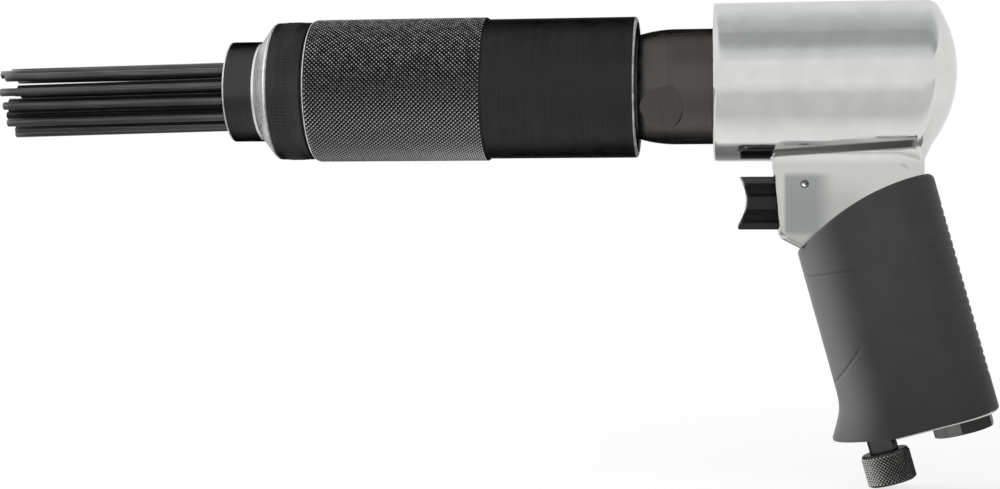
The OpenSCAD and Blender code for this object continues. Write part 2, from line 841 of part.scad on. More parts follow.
// Toe that flares forward at the foot of the grip, a little inside its sides
module toe_shape() {
    lean_at = [-grip_depth / 2, 0, w_toe];
    toe_depth = grip_depth / 2;
    toe_w = grip_w - 2 * toe_inset;
    toe_edge_r = grip_edge_r - 2 * toe_inset;
    intersection() {
        translate(lean_at) rotate([0, toe_lean, 0]) translate([toe_depth / 2, 0, -2 * toe_h])
            linear_extrude(height = 2 * toe_h) intersection() {
                translate([toe_depth / 2, 0]) rounded_rect(grip_depth, toe_w, toe_edge_r);
                square([toe_depth, toe_w], center = true);
            }
        translate([-grip_depth, -grip_w / 2, w_base])
            cube([grip_depth, grip_w, 2 * toe_h]);
    }
}

// Flat underside that rises a little from the base to the toe's tip
module toe_trim_cut() {
    trim_run = grip_depth / 2;
    rotate([90, 0, 0]) linear_extrude(height = grip_w + 2 * over, center = true)
        polygon([
            [-core_depth / 4, w_base],
            [-core_depth / 4 - trim_run, w_base + toe_trim],
            [-core_depth / 4 - trim_run, w_base - toe_trim],
            [-core_depth / 4, w_base - toe_trim]
        ]);
}

module rubber_grip() {
    color("#3c3c3e") difference() {
        intersection() {
            in_grip() union() {
                column(grip_depth, grip_w, grip_edge_r, w_base, core_rise);
                toe_shape();
            }
            side_view(grip_w + 2 * over) grip_view() top_sweep(top_sweep_r);
        }
        in_grip() {
            column(core_depth + 2 * fit_gap, neck_w + 2 * fit_gap, core_edge_r + fit_gap,
                w_base - over, core_rise + over);
            rib_grooves();
            toe_trim_cut();
        }
    }
}

// Fluted block with a hollow finger face and a slot for its retaining pin
module trigger() {
    flute_at = trigger_w / 2 + flute_r - flute_depth;
    slot_d = pin_d + 2 * trigger_clearance;
    finger_x = x_trigger + finger_depth - finger_r;
    color("#262628") difference() {
        translate([x_trigger, 0, z_trigger]) rotate([90, 0, 90]) linear_extrude(height = trigger_l)
            difference() {
                square([trigger_w, trigger_h], center = true);
                for (side = [-1, 1], level = [-1, 1]) {
                    translate([side * flute_at, level * trigger_h / 4]) circle(r = flute_r);
                }
            }
        translate([finger_x, 0, z_trigger + finger_rise]) rotate([90, 0, 0])
            cylinder(r = finger_r, h = trigger_w + 2 * over, center = true);
        translate([x_pin, 0, z_trigger + pin_rise]) rotate([90, 0, 0]) {
            cylinder(d = slot_d, h = trigger_w + 2 * over, center = true);
            translate([-trigger_travel, 0, 0])
                cylinder(d = slot_d, h = trigger_w + 2 * over, center = true);
            translate([-trigger_travel / 2, 0, 0])
                cube([trigger_travel, slot_d, trigger_w + 2 * over], center = true);
        }
    }
}

module trigger_pin() {
    color("silver") translate([x_pin, 0, z_trigger + pin_rise]) rotate([90, 0, 0]) difference() {
        cylinder(d = pin_d, h = neck_w - edge_bevel, center = true);
        cylinder(d = pin_d - 2 * pin_wall, h = neck_w + over, center = true);
        translate([0, -pin_slit / 2, -neck_w / 2 - over]) cube([pin_d, pin_slit, neck_w + 2 * over]);
    }
}

module throttle_stem() {
    color("silver") {
        rod(x_trigger_end, x_stem_end, stem_d, z_trigger);
        rod(x_stem_head, x_stem_end, stem_head_d, z_trigger);
    }
}

module throttle_seat() {
    x_feed = x_pocket_end + seat_l / 2;
    color("goldenrod") difference() {
        rod(x_pocket_end, x_seat_end, seat_d, z_trigger);
        rod(x_pocket_end - over, x_seat_end + over, stem_d + 2 * stem_clearance, z_trigger);
        translate([x_feed, 0, z_trigger]) cylinder(d = stem_d, h = seat_d);
    }
}

module throttle_seal() {
    color("black") translate([x_seat_end + seal_d / 2 + fit_gap / 2, 0, z_trigger]) rotate([0, 90, 0])
        rotate_extrude() translate([seal_mean_r, 0]) circle(d = seal_d);
}

module throttle_spring() {
    echo(throttle_spring_gap =
        coil_lift(throttle_spring_l, throttle_spring_wire, throttle_spring_turns) - throttle_spring_wire);
    color("silver") translate([x_stem_end + fit_gap / 2, 0, z_trigger]) rotate([0, 90, 0])
        coil(throttle_spring_l, throttle_spring_r, throttle_spring_wire, throttle_spring_turns);
}

// Knob and stem in one, with a groove for the seal and a tapered tip
module regulator_knob() {
    tip_r = regulator_r / 3;
    w_tip = w_port - regulator_travel;
    w_shank = w_tip - passage_d;
    half_seal = regulator_seal_d / 2 + fit_gap;
    color("#343436") in_grip() translate([-regulator_ahead, 0, 0]) rotate_extrude() difference() {
        union() {
            band(0, knob_d / 2, w_knob - knob_l, w_knob);
            band(0, regulator_r, w_knob, w_shank);
            polygon([[0, w_shank], [regulator_r, w_shank], [tip_r, w_tip], [0, w_tip]]);
        }
        band(seal_groove_r, knob_d, w_seal - half_seal, w_seal + half_seal);
        bevel(knob_d / 2, w_knob - knob_l, knob_bevel);
        bevel(knob_d / 2, w_knob, knob_bevel);
    }
}

module regulator_seal() {
    seal_r = regulator_r - regulator_seal_d / 2;
    color("black") in_grip() translate([-regulator_ahead, 0, w_seal])
        rotate_extrude() translate([seal_r + fit_gap, 0]) circle(d = regulator_seal_d);
}

// Hexagon with a chamfered end, on a round body that screws into the casting
module inlet_bushing() {
    corner_d = hex_af / cos(30);
    cone_h = hex_af / 2;
    color("#3a3a3c") in_grip() translate([inlet_back, 0, 0]) difference() {
        union() {
            intersection() {
                translate([0, 0, w_hex_end]) rotate(hex_turn) cylinder(d = corner_d, h = hex_h, $fn = 6);
                translate([0, 0, w_hex_end]) cylinder(d1 = hex_af, d2 = hex_af + 4 * cone_h, h = cone_h);
            }
            translate([0, 0, w_lip]) cylinder(d = bushing_d, h = bushing_l);
        }
        translate([0, 0, w_hex_end - over]) cylinder(d = inlet_bore_d, h = inlet_bore_l + over);
        translate([0, 0, w_hex_end])
            cylinder(d = inlet_bore_d - 2 * screen_t, h = bushing_l + hex_h + over);
    }
}

// Perforated disc that covers the bushing's inner end
module inlet_screen() {
    hole_ring_r = inlet_bore_d / 4;
    hole_count = 6;
    color("gold") in_grip() translate([inlet_back, 0, w_bushing]) difference() {
        cylinder(d = bushing_d, h = screen_t);
        for (i = [0 : hole_count]) {
            rotate(360 * i / hole_count) translate([i == hole_count ? 0 : hole_ring_r, 0, -over])
                cylinder(d = screen_hole_d, h = screen_t + 2 * over);
        }
    }
}

nose_collar();
shoulder_cap();
lock_ring();
knurled_sleeve();
rear_sleeve();
needle_holder();
for (i = [0 : needle_count - 1]) {
    name = str("needle_", i < 9 ? "0" : "", i + 1);
    needle(i);
}
needle_spring();
anvil();
barrel();
piston();
valve_block();
valve_disc();
valve_cap();
housing();
rubber_grip();
trigger();
trigger_pin();
throttle_stem();
throttle_seat();
throttle_seal();
throttle_spring();
regulator_knob();
regulator_seal();
inlet_bushing();
inlet_screen();
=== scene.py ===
# %% [markdown]
# # Dressing an air needle scaler
#
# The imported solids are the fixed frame: every node already sits in its place, in metres. This lesson gives
# the pieces their finishes, and makes again the few whose real surface is richer than a plain solid: the
# knurled sleeve and knob, the lock ring, the cast housing, the moulded grip, the trigger and the springs.

# %% Load the frame
import math

import bmesh
import bpy
import numpy as np
from mathutils import Matrix, Vector


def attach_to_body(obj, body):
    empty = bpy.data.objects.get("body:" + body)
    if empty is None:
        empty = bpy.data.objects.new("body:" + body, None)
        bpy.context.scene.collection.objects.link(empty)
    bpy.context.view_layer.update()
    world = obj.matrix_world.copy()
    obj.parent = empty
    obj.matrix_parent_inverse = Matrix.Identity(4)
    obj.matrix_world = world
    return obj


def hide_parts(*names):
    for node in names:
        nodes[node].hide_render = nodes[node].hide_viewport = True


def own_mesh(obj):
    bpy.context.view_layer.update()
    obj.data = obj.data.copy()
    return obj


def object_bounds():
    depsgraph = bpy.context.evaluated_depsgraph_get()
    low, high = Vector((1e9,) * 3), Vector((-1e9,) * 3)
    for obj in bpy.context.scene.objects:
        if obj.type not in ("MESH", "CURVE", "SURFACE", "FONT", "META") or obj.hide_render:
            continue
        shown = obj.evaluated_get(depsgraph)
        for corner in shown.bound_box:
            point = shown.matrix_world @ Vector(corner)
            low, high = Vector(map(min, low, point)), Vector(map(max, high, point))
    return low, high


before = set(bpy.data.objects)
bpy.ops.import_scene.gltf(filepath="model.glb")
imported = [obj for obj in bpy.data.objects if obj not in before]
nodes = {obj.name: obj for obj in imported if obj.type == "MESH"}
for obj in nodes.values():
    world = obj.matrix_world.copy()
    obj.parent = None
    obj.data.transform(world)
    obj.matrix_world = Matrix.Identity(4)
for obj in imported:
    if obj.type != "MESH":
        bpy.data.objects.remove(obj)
cad_low, cad_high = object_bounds()
scene = bpy.context.scene
scene.view_settings.view_transform = "Standard"
MM = 0.001

# %% [markdown]
# ## Camera
#
# The picture is taken from the tool's left side, a little from behind, about two thirds of a metre away. A
# focal length of 1800 pixels on a picture 1000 pixels wide is a 64.8 mm lens on Blender's 36 mm sensor. The
# camera's place was found by matching the ends of the sleeves and the corners of the housing.

# %% Camera
PICTURE_W = 1000
FOCAL_PIXELS = 1800
eye = Vector((194.8, -668.6, -58.3)) * MM
aim = Vector((102.0, 0.0, -58.3)) * MM
lens = bpy.data.cameras.new("camera")
lens.sensor_fit = "HORIZONTAL"
lens.lens = lens.sensor_width * FOCAL_PIXELS / PICTURE_W
camera = bpy.data.objects.new("camera", lens)
camera.location = eye
camera.rotation_euler = (aim - eye).to_track_quat("-Z", "Y").to_euler()
scene.collection.objects.link(camera)
scene.camera = camera
print("camera: lens", round(lens.lens, 1), "mm")

# %% [markdown]
# ## The grip's own frame
#
# The grip leans back by 15.5 degrees. Its shapes and its finish are simple in a frame that leans with it: u
# runs to the back, w runs up along the grip, and y stays the width.

# %% Grip frame
TILT = math.radians(15.5)
GRIP_X, GRIP_Z = 235.2, -43.2
BASE_W = -83.9


def to_grip(x, z):
    along, up = x - GRIP_X, z - GRIP_Z
    return along * math.cos(TILT) + up * math.sin(TILT), up * math.cos(TILT) - along * math.sin(TILT)


def from_grip(u, y, w):
    return Vector((GRIP_X + u * math.cos(TILT) - w * math.sin(TILT), y,
                   GRIP_Z + u * math.sin(TILT) + w * math.cos(TILT)))


print("grip base centre, mm:", [round(v, 1) for v in from_grip(0, 0, BASE_W)])


# %% [markdown]
# ## Finishes
#
# Every finish is a Principled shader with its constants on its own sockets, plus a few texture nodes on
# Object coordinates, so that a grain keeps its true size in metres. The helpers below make those nodes: a
# noise stretched along the piece, a soft step between two places, and a mix of two colours. A region is the
# product of several soft steps. Each has a reading, its values before and after, and where it starts and
# ends: in millimetres for a place, and from 0.3 to 0.7 for a noise.

# %% Node helpers
def attach(tree, value, socket):
    if isinstance(value, bpy.types.NodeSocket):
        tree.links.new(value, socket)
    else:
        socket.default_value = value


def add_node(tree, kind, inputs=(), **settings):
    node = tree.nodes.new(kind)
    for label, value in settings.items():
        setattr(node, label, value)
    for place, value in dict(inputs).items():
        attach(tree, value, node.inputs[place])
    return node


# %% Shader helpers
def new_finish(name, color, metallic, roughness, **sockets):
    mat = bpy.data.materials.new(name)
    mat.use_nodes = True
    shader = mat.node_tree.nodes["Principled BSDF"]
    shader.inputs["Base Color"].default_value = (*color, 1)
    shader.inputs["Metallic"].default_value = metallic
    shader.inputs["Roughness"].default_value = roughness
    for label, value in sockets.items():
        shader.inputs[label.replace("_", " ")].default_value = value
    return mat, mat.node_tree, shader


def paint(tree, shader, color, roughness):
    tree.links.new(color, shader.inputs["Base Color"])
    tree.links.new(roughness, shader.inputs["Roughness"])


def emboss(tree, shader, height, depth_mm, strength=1.0):
    bump = add_node(tree, "ShaderNodeBump",
                    {"Strength": strength, "Distance": depth_mm * MM, "Height": height})
    tree.links.new(bump.outputs[0], shader.inputs["Normal"])


def dress(material, *names):
    for name in names:
        nodes[name].data.materials.clear()
        nodes[name].data.materials.append(material)


# %% Arithmetic helpers
def calc(tree, operation, *values):
    return add_node(tree, "ShaderNodeMath", enumerate(values), operation=operation).outputs[0]


def product(tree, first, *others):
    for value in others:
        first = calc(tree, "MULTIPLY", first, value)
    return first


def distance(tree, a, b):
    squares = calc(tree, "ADD", product(tree, a, a), product(tree, b, b))
    return calc(tree, "SQRT", squares)


def spread(tree, value, low, high, start=0.3, end=0.7):
    limits = {"Value": value, "From Min": start, "From Max": end, "To Min": low, "To Max": high}
    return add_node(tree, "ShaderNodeMapRange", limits, interpolation_type="SMOOTHSTEP").outputs[0]


def region(tree, *steps):
    return product(tree, *(spread(tree, *step) for step in steps))


# %% Texture helpers
def place_of(tree):
    return tree.nodes.new("ShaderNodeTexCoord").outputs["Object"]


def axis_of(tree, axis):
    return add_node(tree, "ShaderNodeSeparateXYZ", {0: place_of(tree)}).outputs[axis]


def axis_mm(tree, axis):
    return product(tree, axis_of(tree, axis), 1 / MM)


def grain(tree, size_mm, stretch=(1, 1, 1), detail=3.0):
    scale = [1 / (s * size_mm * MM) for s in stretch]
    place = add_node(tree, "ShaderNodeMapping", {"Vector": place_of(tree), "Scale": scale}).outputs[0]
    return add_node(tree, "ShaderNodeTexNoise", {"Vector": place, "Scale": 1.0, "Detail": detail}).outputs[0]


def mix_colors(tree, share, first, second):
    pair = (c if isinstance(c, bpy.types.NodeSocket) else (*c, 1) for c in (first, second))
    inputs = {"Factor": share, **dict(zip((6, 7), pair))}
    return add_node(tree, "ShaderNodeMix", inputs, data_type="RGBA").outputs[2]


# %% [markdown]
# ### Turned steel
#
# The nose, the rings and the sleeves are turned on a lathe and blackened. A lathe leaves fine rings round the
# axis, so the noise is squeezed along X and stretched round. At some edges a bright band is wear and painted
# highlight together: the black wears off there, and the band also paints the thin highlight that the edge
# catches. Each band has a start, an end and a softness along the axis.

# %% Turned steel
STEEL_BRIGHT, STEEL_WHITE = (0.62, 0.62, 0.61), (0.9, 0.9, 0.89)
SMOOTHER, ROUGHER = 0.85, 1.2


def turned_steel(name, dark, light, roughness, wear_and_glint=(), edge_tint=1.0, bright=STEEL_BRIGHT, metallic=1.0):
    edge = (edge_tint, edge_tint, edge_tint, 1)
    mat, tree, shader = new_finish(name, dark, metallic, roughness, Specular_Tint=edge)
    rings = grain(tree, 0.5, (1, 60, 60), 2.0)
    color = mix_colors(tree, spread(tree, rings, 0, 1), dark, light)
    along = axis_mm(tree, "X")
    for start, end, soft in wear_and_glint:
        share = region(tree, (along, 0, 1, start - soft, start), (along, 1, 0, end, end + soft),
                       (grain(tree, 3.0), 0.55, 1.0))
        color = mix_colors(tree, share, color, bright)
    paint(tree, shader, color, spread(tree, grain(tree, 6.0), roughness * SMOOTHER, roughness * ROUGHER))
    emboss(tree, shader, rings, 0.002)
    return mat


# Edge bands: wear and a painted highlight together.
NOSE_FRONT, RING_FRONT = (0.0, 0.45, 0.1), (17.7, 18.3, 0.3)
KNURL_FRONT, SLEEVE_BACK = (32.0, 32.5, 0.12), (153.2, 154.2, 0.2)
collar_finish = turned_steel("blackened_nose", (0.05, 0.05, 0.051), (0.06, 0.06, 0.061), 0.3,
                             [NOSE_FRONT], edge_tint=0.0, bright=STEEL_WHITE)
ring_finish = turned_steel("blackened_ring", (0.042, 0.042, 0.043), (0.05, 0.05, 0.051), 0.42,
                           [RING_FRONT], edge_tint=0.2)
rim_finish = turned_steel("rim_wear_and_glint", (0.03, 0.03, 0.03), (0.04, 0.04, 0.04), 0.42,
                          [KNURL_FRONT], edge_tint=0.2, bright=STEEL_WHITE)
sleeve_finish = turned_steel("satin_black_sleeve", (0.029, 0.029, 0.0295), (0.034, 0.034, 0.0345), 0.38,
                             [SLEEVE_BACK], edge_tint=0.25)
barrel_finish = turned_steel("dark_barrel", (0.082, 0.078, 0.075), (0.09, 0.086, 0.082), 0.32,
                             edge_tint=0.0)
shoulder_finish = turned_steel("plated_shoulder", (0.82, 0.82, 0.81), (0.88, 0.88, 0.87), 0.3,
                               edge_tint=0.15, metallic=0.88)
ground_finish = turned_steel("ground_steel", (0.42, 0.43, 0.45), (0.52, 0.53, 0.55), 0.28)
brass_finish = turned_steel("turned_brass", (0.62, 0.44, 0.16), (0.72, 0.53, 0.22), 0.26)
pin_finish = turned_steel("blackened_pin", (0.1, 0.1, 0.1), (0.16, 0.16, 0.16), 0.35)
print("turned finishes:", len(bpy.data.materials))

# %% [markdown]
# ### Fittings
#
# The knob's stem and the inlet's hexagon are dull black fittings. The hexagon's flats carry painted light:
# they are painted grey, apart from the two that face the tool's sides, which stay dark. Those are told apart
# by the way their surface faces.

# %% Fittings
FITTING_TINT = (0.4, 0.4, 0.4, 1)
fitting_finish, tree, shader = new_finish("dull_fitting", (0.07, 0.07, 0.069), 1.0, 0.28,
                                          Specular_Tint=FITTING_TINT)
tarnish = grain(tree, 4.0, detail=4.0)
dull = mix_colors(tree, spread(tree, tarnish, 0, 1), (0.046, 0.046, 0.045), (0.062, 0.062, 0.06))
paint(tree, shader, dull, spread(tree, tarnish, 0.24, 0.33))

hexagon_finish, tree, shader = new_finish("hexagon_painted_facet_light", (0.03, 0.03, 0.03), 1.0, 0.3,
                                          Specular_Tint=FITTING_TINT)
normal = tree.nodes.new("ShaderNodeTexCoord").outputs["Normal"]
facing = add_node(tree, "ShaderNodeSeparateXYZ", {0: normal})
sideways = calc(tree, "ABSOLUTE", facing.outputs["Y"])
# Painted light on the hexagon's flats, by the way each faces.
painted_facet_light = region(tree, (sideways, 1, 0, 0.78, 0.92), (grain(tree, 3.0), 0.7, 1.0))
painted_facet_light = mix_colors(tree, painted_facet_light, (0.032, 0.032, 0.031), (0.15, 0.15, 0.146))
tree.links.new(painted_facet_light, shader.inputs["Base Color"])

# %% Steel on its pieces
dress(collar_finish, "nose_collar")
dress(ring_finish, "lock_ring")
dress(fitting_finish, "regulator_knob")
dress(hexagon_finish, "inlet_bushing")
dress(sleeve_finish, "rear_sleeve", "knurled_sleeve")
dress(barrel_finish, "barrel")
dress(shoulder_finish, "shoulder_cap")
dress(pin_finish, "trigger_pin")
dress(ground_finish, "needle_holder", "anvil", "piston", "valve_block", "valve_disc", "valve_cap",
      "throttle_stem", "needle_spring", "throttle_spring")
dress(brass_finish, "throttle_seat", "inlet_screen")
print("steel finishes:", len(bpy.data.materials))

# %% [markdown]
# ### Needles
#
# The needles are drawn wire, dark from heat and handling, with the drawing lines running along them and the
# working tips hammered a little brighter. The noise is stretched far along X. The needles shade each other,
# so a painted shade darkens the wire the nearer it lies to the bundle's sagging middle line.

# %% Needles
NEEDLES = [name for name in sorted(nodes) if name.startswith("needle_") and name[-2:].isdigit()]
PLATE_X, BUNDLE_SAG = 83.0, math.tan(math.radians(0.95))
needle_finish, tree, shader = new_finish("drawn_needle_wire", (0.1, 0.1, 0.104), 0.9, 0.38)
along, aside, height = (axis_mm(tree, axis) for axis in "XYZ")
lines = grain(tree, 0.25, (80, 1, 1), 3.0)
stains = grain(tree, 14.0, (2, 1, 1), 4.0)
wire = mix_colors(tree, spread(tree, lines, 0, 1), (0.056, 0.056, 0.058), (0.13, 0.131, 0.134))
wire = mix_colors(tree, spread(tree, stains, 0, 0.5), wire, (0.05, 0.047, 0.044))
tip = spread(tree, along, 0.75, 0.0, -94.0, -84.0)
wire = mix_colors(tree, tip, wire, (0.42, 0.42, 0.43))
sag = product(tree, calc(tree, "SUBTRACT", along, PLATE_X), BUNDLE_SAG)
from_middle = distance(tree, calc(tree, "SUBTRACT", height, sag), aside)
# Painted shade inside the bundle.
painted_bundle_shade = spread(tree, from_middle, 0.92, 0.0, 9.5, 12.6)
wire = mix_colors(tree, painted_bundle_shade, wire, (0.012, 0.012, 0.012))
paint(tree, shader, wire, spread(tree, stains, 0.3, 0.46))
emboss(tree, shader, lines, 0.01)
dress(needle_finish, *NEEDLES)
print("needles:", len(NEEDLES))

# %% [markdown]
# ### Cast aluminium
#
# The housing is a casting that was polished by hand: mirror-like, with a faint haze and soft waves that make
# the reflections swim. The neck is coloured a little darker than the drum, and a painted shade darkens its
# lower front. Its flat round the roll pin carries a painted reflection, a greyer patch. In the crease under
# the drum, a slightly rising strip is painted dark as shade, darker towards the back, and is rougher.

# %% Cast aluminium
CREASE_X, CREASE_RISE = 204.0, 0.06
PIN_FLAT_REFLECTION_SHARE, CREASE_ROUGH = 0.85, 0.35
casting_finish, tree, shader = new_finish("polished_casting", (0.66, 0.66, 0.65), 1.0, 0.1,
                                          Specular_Tint=(0.85, 0.85, 0.85, 1))
along, width, height = (axis_mm(tree, axis) for axis in "XYZ")
haze = grain(tree, 9.0, detail=4.0)
polish = mix_colors(tree, spread(tree, haze, 0, 1), (0.64, 0.64, 0.63), (0.69, 0.69, 0.68))
neck_part = spread(tree, height, 1, 0, -30.0, -27.0)
polish = mix_colors(tree, neck_part, polish, (0.57, 0.565, 0.545))
shade = region(tree, (height, 1, 0, -46.0, -31.0), (along, 1, 0, 228.0, 244.0), (along, 0, 1, 206.0, 210.0))
polish = mix_colors(tree, shade, polish, (0.44, 0.44, 0.425))
# Painted reflection: a greyer patch on the neck's flat round the roll pin.
pin_flat_painted_reflection = region(tree, (along, 0, 1, 206.3, 208.1), (along, 1, 0, 217.0, 226.0),
                  (height, 0, 1, -56.0, -53.0), (height, 1, 0, -34.5, -31.5), (width, 1, 0, -12.0, -11.0))
pin_flat_painted_reflection = product(tree, pin_flat_painted_reflection, PIN_FLAT_REFLECTION_SHARE)
polish = mix_colors(tree, pin_flat_painted_reflection, polish, (0.26, 0.275, 0.277))
# Painted shade in the crease under the drum.
rise = product(tree, calc(tree, "SUBTRACT", along, CREASE_X), CREASE_RISE)
level = calc(tree, "SUBTRACT", height, rise)
crease = region(tree, (level, 0, 1, -27.0, -26.3), (level, 1, 0, -24.4, -23.7),
                (along, 0, 1, 202.6, 204.2), (along, 1, 0, 251.0, 255.0))
crease_painted_shade = mix_colors(tree, spread(tree, along, 0, 1, 215.0, 250.0), (0.17, 0.17, 0.16), (0.09, 0.09, 0.085))
gloss = calc(tree, "ADD", spread(tree, grain(tree, 3.5), 0.07, 0.14), product(tree, crease, CREASE_ROUGH))
paint(tree, shader, mix_colors(tree, crease, polish, crease_painted_shade), gloss)
emboss(tree, shader, grain(tree, 16.0, detail=1.0), 0.02)
dress(casting_finish, "housing")
print("casting:", len(tree.nodes), "nodes")

# %% [markdown]
# ### Rubber
#
# The grip is moulded rubber with a fine matt grain. It is darker towards the foot, and painted light makes a
# paler strip along the front edge. That strip leans with the grip, so it is measured in the grip's own
# direction.

# %% Rubber
rubber_finish, tree, shader = new_finish("moulded_rubber", (0.03, 0.03, 0.031), 0.0, 0.55,
                                         Specular_IOR_Level=0.15, Sheen_Weight=0.1, Sheen_Roughness=0.35)
along, height = axis_mm(tree, "X"), axis_mm(tree, "Z")
dust = grain(tree, 12.0, detail=4.0)
matt = mix_colors(tree, spread(tree, dust, 0, 1), (0.039, 0.039, 0.0395), (0.047, 0.047, 0.0475))
toward_foot = spread(tree, height, 0.75, 0.0, -140.0, -60.0)
matt = mix_colors(tree, toward_foot, matt, (0.023, 0.023, 0.0233))
lean = product(tree, calc(tree, "SUBTRACT", height, GRIP_Z), math.tan(TILT))
back = calc(tree, "ADD", calc(tree, "SUBTRACT", along, GRIP_X), lean)
# Painted light: a paler strip along the front edge.
painted_light = region(tree, (back, 0.9, 0.0, -27.0, -11.0), (height, 0.6, 1.0, -130.0, -105.0))
matt = mix_colors(tree, painted_light, matt, (0.09, 0.09, 0.0905))
paint(tree, shader, matt, spread(tree, dust, 0.5, 0.6))
emboss(tree, shader, grain(tree, 0.35, detail=2.0), 0.03, strength=0.6)
dress(rubber_finish, "rubber_grip")

seal_finish, tree, shader = new_finish("seal_rubber", (0.02, 0.02, 0.02), 0.0, 0.5)
tree.links.new(spread(tree, grain(tree, 0.8), 0.42, 0.58), shader.inputs["Roughness"])
dress(seal_finish, "throttle_seal", "regulator_seal")
print("rubber on the grip and 2 seals")

# %% [markdown]
# ### Trigger plastic
#
# The trigger is a satin black moulding. The outer face of each bar carries a painted highlight, strongest on
# the upper one, and the edge round the hollow for the finger carries the palest painted highlight.

# %% Trigger plastic
FINGER_X, FINGER_Z, FINGER_R = 178.0, -41.9, 15.4
plastic_finish, tree, shader = new_finish("trigger_moulding", (0.006, 0.006, 0.006), 0.0, 0.3,
                                          Specular_IOR_Level=0.1)
along, height = axis_mm(tree, "X"), axis_mm(tree, "Z")
aside = calc(tree, "ABSOLUTE", axis_mm(tree, "Y"))
scuff = grain(tree, 1.6, detail=5.0)
moulded = mix_colors(tree, spread(tree, scuff, 0, 1), (0.004, 0.004, 0.0042), (0.008, 0.008, 0.0083))
# Painted highlight on the bar faces, stronger higher up.
painted_bar_highlight = region(tree, (aside, 0, 1, 6.5, 7.45), (height, 0.35, 1.0, -41.0, -36.0))
moulded = mix_colors(tree, painted_bar_highlight, moulded, (0.045, 0.045, 0.045))
back, up = calc(tree, "SUBTRACT", along, FINGER_X), calc(tree, "SUBTRACT", height, FINGER_Z)
from_finger = distance(tree, back, up)
# Painted highlight on the edge round the finger hollow.
painted_light = region(tree, (aside, 0, 0.85, 5.6, 7.0), (from_finger, 1, 0, FINGER_R + 0.1, FINGER_R + 0.8))
moulded = mix_colors(tree, painted_light, moulded, (0.3, 0.3, 0.3))
paint(tree, shader, moulded, spread(tree, scuff, 0.28, 0.42))
emboss(tree, shader, scuff, 0.02, strength=0.5)
dress(plastic_finish, "trigger")
print("finishes:", len(bpy.data.materials))

# %% [markdown]
# ## Forms from a formula
#
# The casting, the moulded grip and the trigger run softly from one shape into the next. Bevel modifiers fail
# on such joints, so each is written as a formula that gives the distance to the surface: below zero inside,
# above zero outside. Two helpers join or cut shapes with a rounded edge of a set radius. A net of small quads
# is then wrapped round the place where the formula is zero, and every corner is pulled exactly onto it.

# %% Formula helpers
def round_join(a, b, r):
    return np.maximum(r, np.minimum(a, b)) - np.hypot(np.maximum(r - a, 0), np.maximum(r - b, 0))


def round_meet(a, b, r):
    return np.minimum(-r, np.maximum(a, b)) + np.hypot(np.maximum(r + a, 0), np.maximum(r + b, 0))


def round_rect(a, b, half_a, half_b, r):
    past_a = np.abs(a) - (half_a - r)
    past_b = np.abs(b) - (half_b - r)
    corner = np.hypot(np.maximum(past_a, 0), np.maximum(past_b, 0))
    return corner + np.minimum(np.maximum(past_a, past_b), 0) - r


def plane(a, b, toward_a, toward_b, at_a, at_b):
    return toward_a * (a - at_a) + toward_b * (b - at_b)


def ramp(value, start, end):
    share = np.clip((value - start) / (end - start), 0, 1)
    return share * share * (3 - 2 * share)


# %% Corners of the net
CORNERS = np.array([(i, j, k) for i in (0, 1) for j in (0, 1) for k in (0, 1)])
CELL_EDGES = [(a, b) for a in range(8) for b in range(a + 1, 8) if np.abs(CORNERS[a] - CORNERS[b]).sum() == 1]
PULLS, NUDGE, LONGEST_PULL, LEAST_SLOPE = 4, 0.02, 0.6, 0.2


def net_corners(field, cells, low, step):
    levels = [field[tuple((cells + corner).T)] for corner in CORNERS]
    total = np.zeros((len(cells), 3))
    crossings = np.zeros((len(cells), 1))
    for a, b in CELL_EDGES:
        crossed = (levels[a] < 0) != (levels[b] < 0)
        share = np.where(crossed, levels[a] / np.where(crossed, levels[a] - levels[b], 1), 0)[:, None]
        total += crossed[:, None] * (CORNERS[a] + share * (CORNERS[b] - CORNERS[a]))
        crossings += crossed[:, None]
    return low + step * (cells + total / crossings)


def pull_on(formula, points, step):
    nudge, longest = NUDGE * step, LONGEST_PULL * step
    for _ in range(PULLS):
        level = formula(*points.T)
        slope = np.stack([(formula(*(points + nudge * side).T) - level) / nudge for side in np.eye(3)], 1)
        move = level[:, None] * slope / np.maximum((slope ** 2).sum(1), LEAST_SLOPE)[:, None]
        points = points - np.clip(move, -longest, longest)
    return points


# %% Net round a formula
def new_piece(name, points_mm, faces):
    mesh = bpy.data.meshes.new(name)
    mesh.from_pydata((points_mm * MM).tolist(), [], faces.tolist())
    piece = bpy.data.objects.new(name, mesh)
    scene.collection.objects.link(piece)
    return piece


def wrap(name, formula, low, high, step):
    low = np.array(low, float)
    axes = [np.arange(a, b + step, step) for a, b in zip(low, high)]
    field = formula(*np.meshgrid(*axes, indexing="ij", sparse=True))
    inside = field < 0
    size = np.array(inside.shape) - 1
    filled = sum(inside[i:i + size[0], j:j + size[1], k:k + size[2]].astype(np.int8) for i, j, k in CORNERS)
    mixed = (filled > 0) & (filled < 8)
    number = np.full(mixed.shape, -1)
    number[mixed] = np.arange(mixed.sum())
    points = pull_on(formula, net_corners(field, np.argwhere(mixed), low, step), step)
    quads = []
    for axis in range(3):
        ahead = np.roll(np.eye(3, dtype=int), -axis, 0)
        changes = np.argwhere(np.diff(inside.astype(np.int8), axis=axis))
        ring = [changes, changes - ahead[1], changes - ahead[1] - ahead[2], changes - ahead[2]]
        faces = np.stack([number[tuple(cell.T)] for cell in ring], 1)
        outward = inside[tuple(changes.T)]
        quads.append(np.where(outward[:, None], faces, faces[:, ::-1]))
    return new_piece(name, points, np.concatenate(quads))


# %% [markdown]
# ### Machined cuts
#
# Bores and pockets are crisp, so they aren't part of the formula. Each is a simple solid that a Boolean
# modifier takes away from the wrapped form, one after the other.

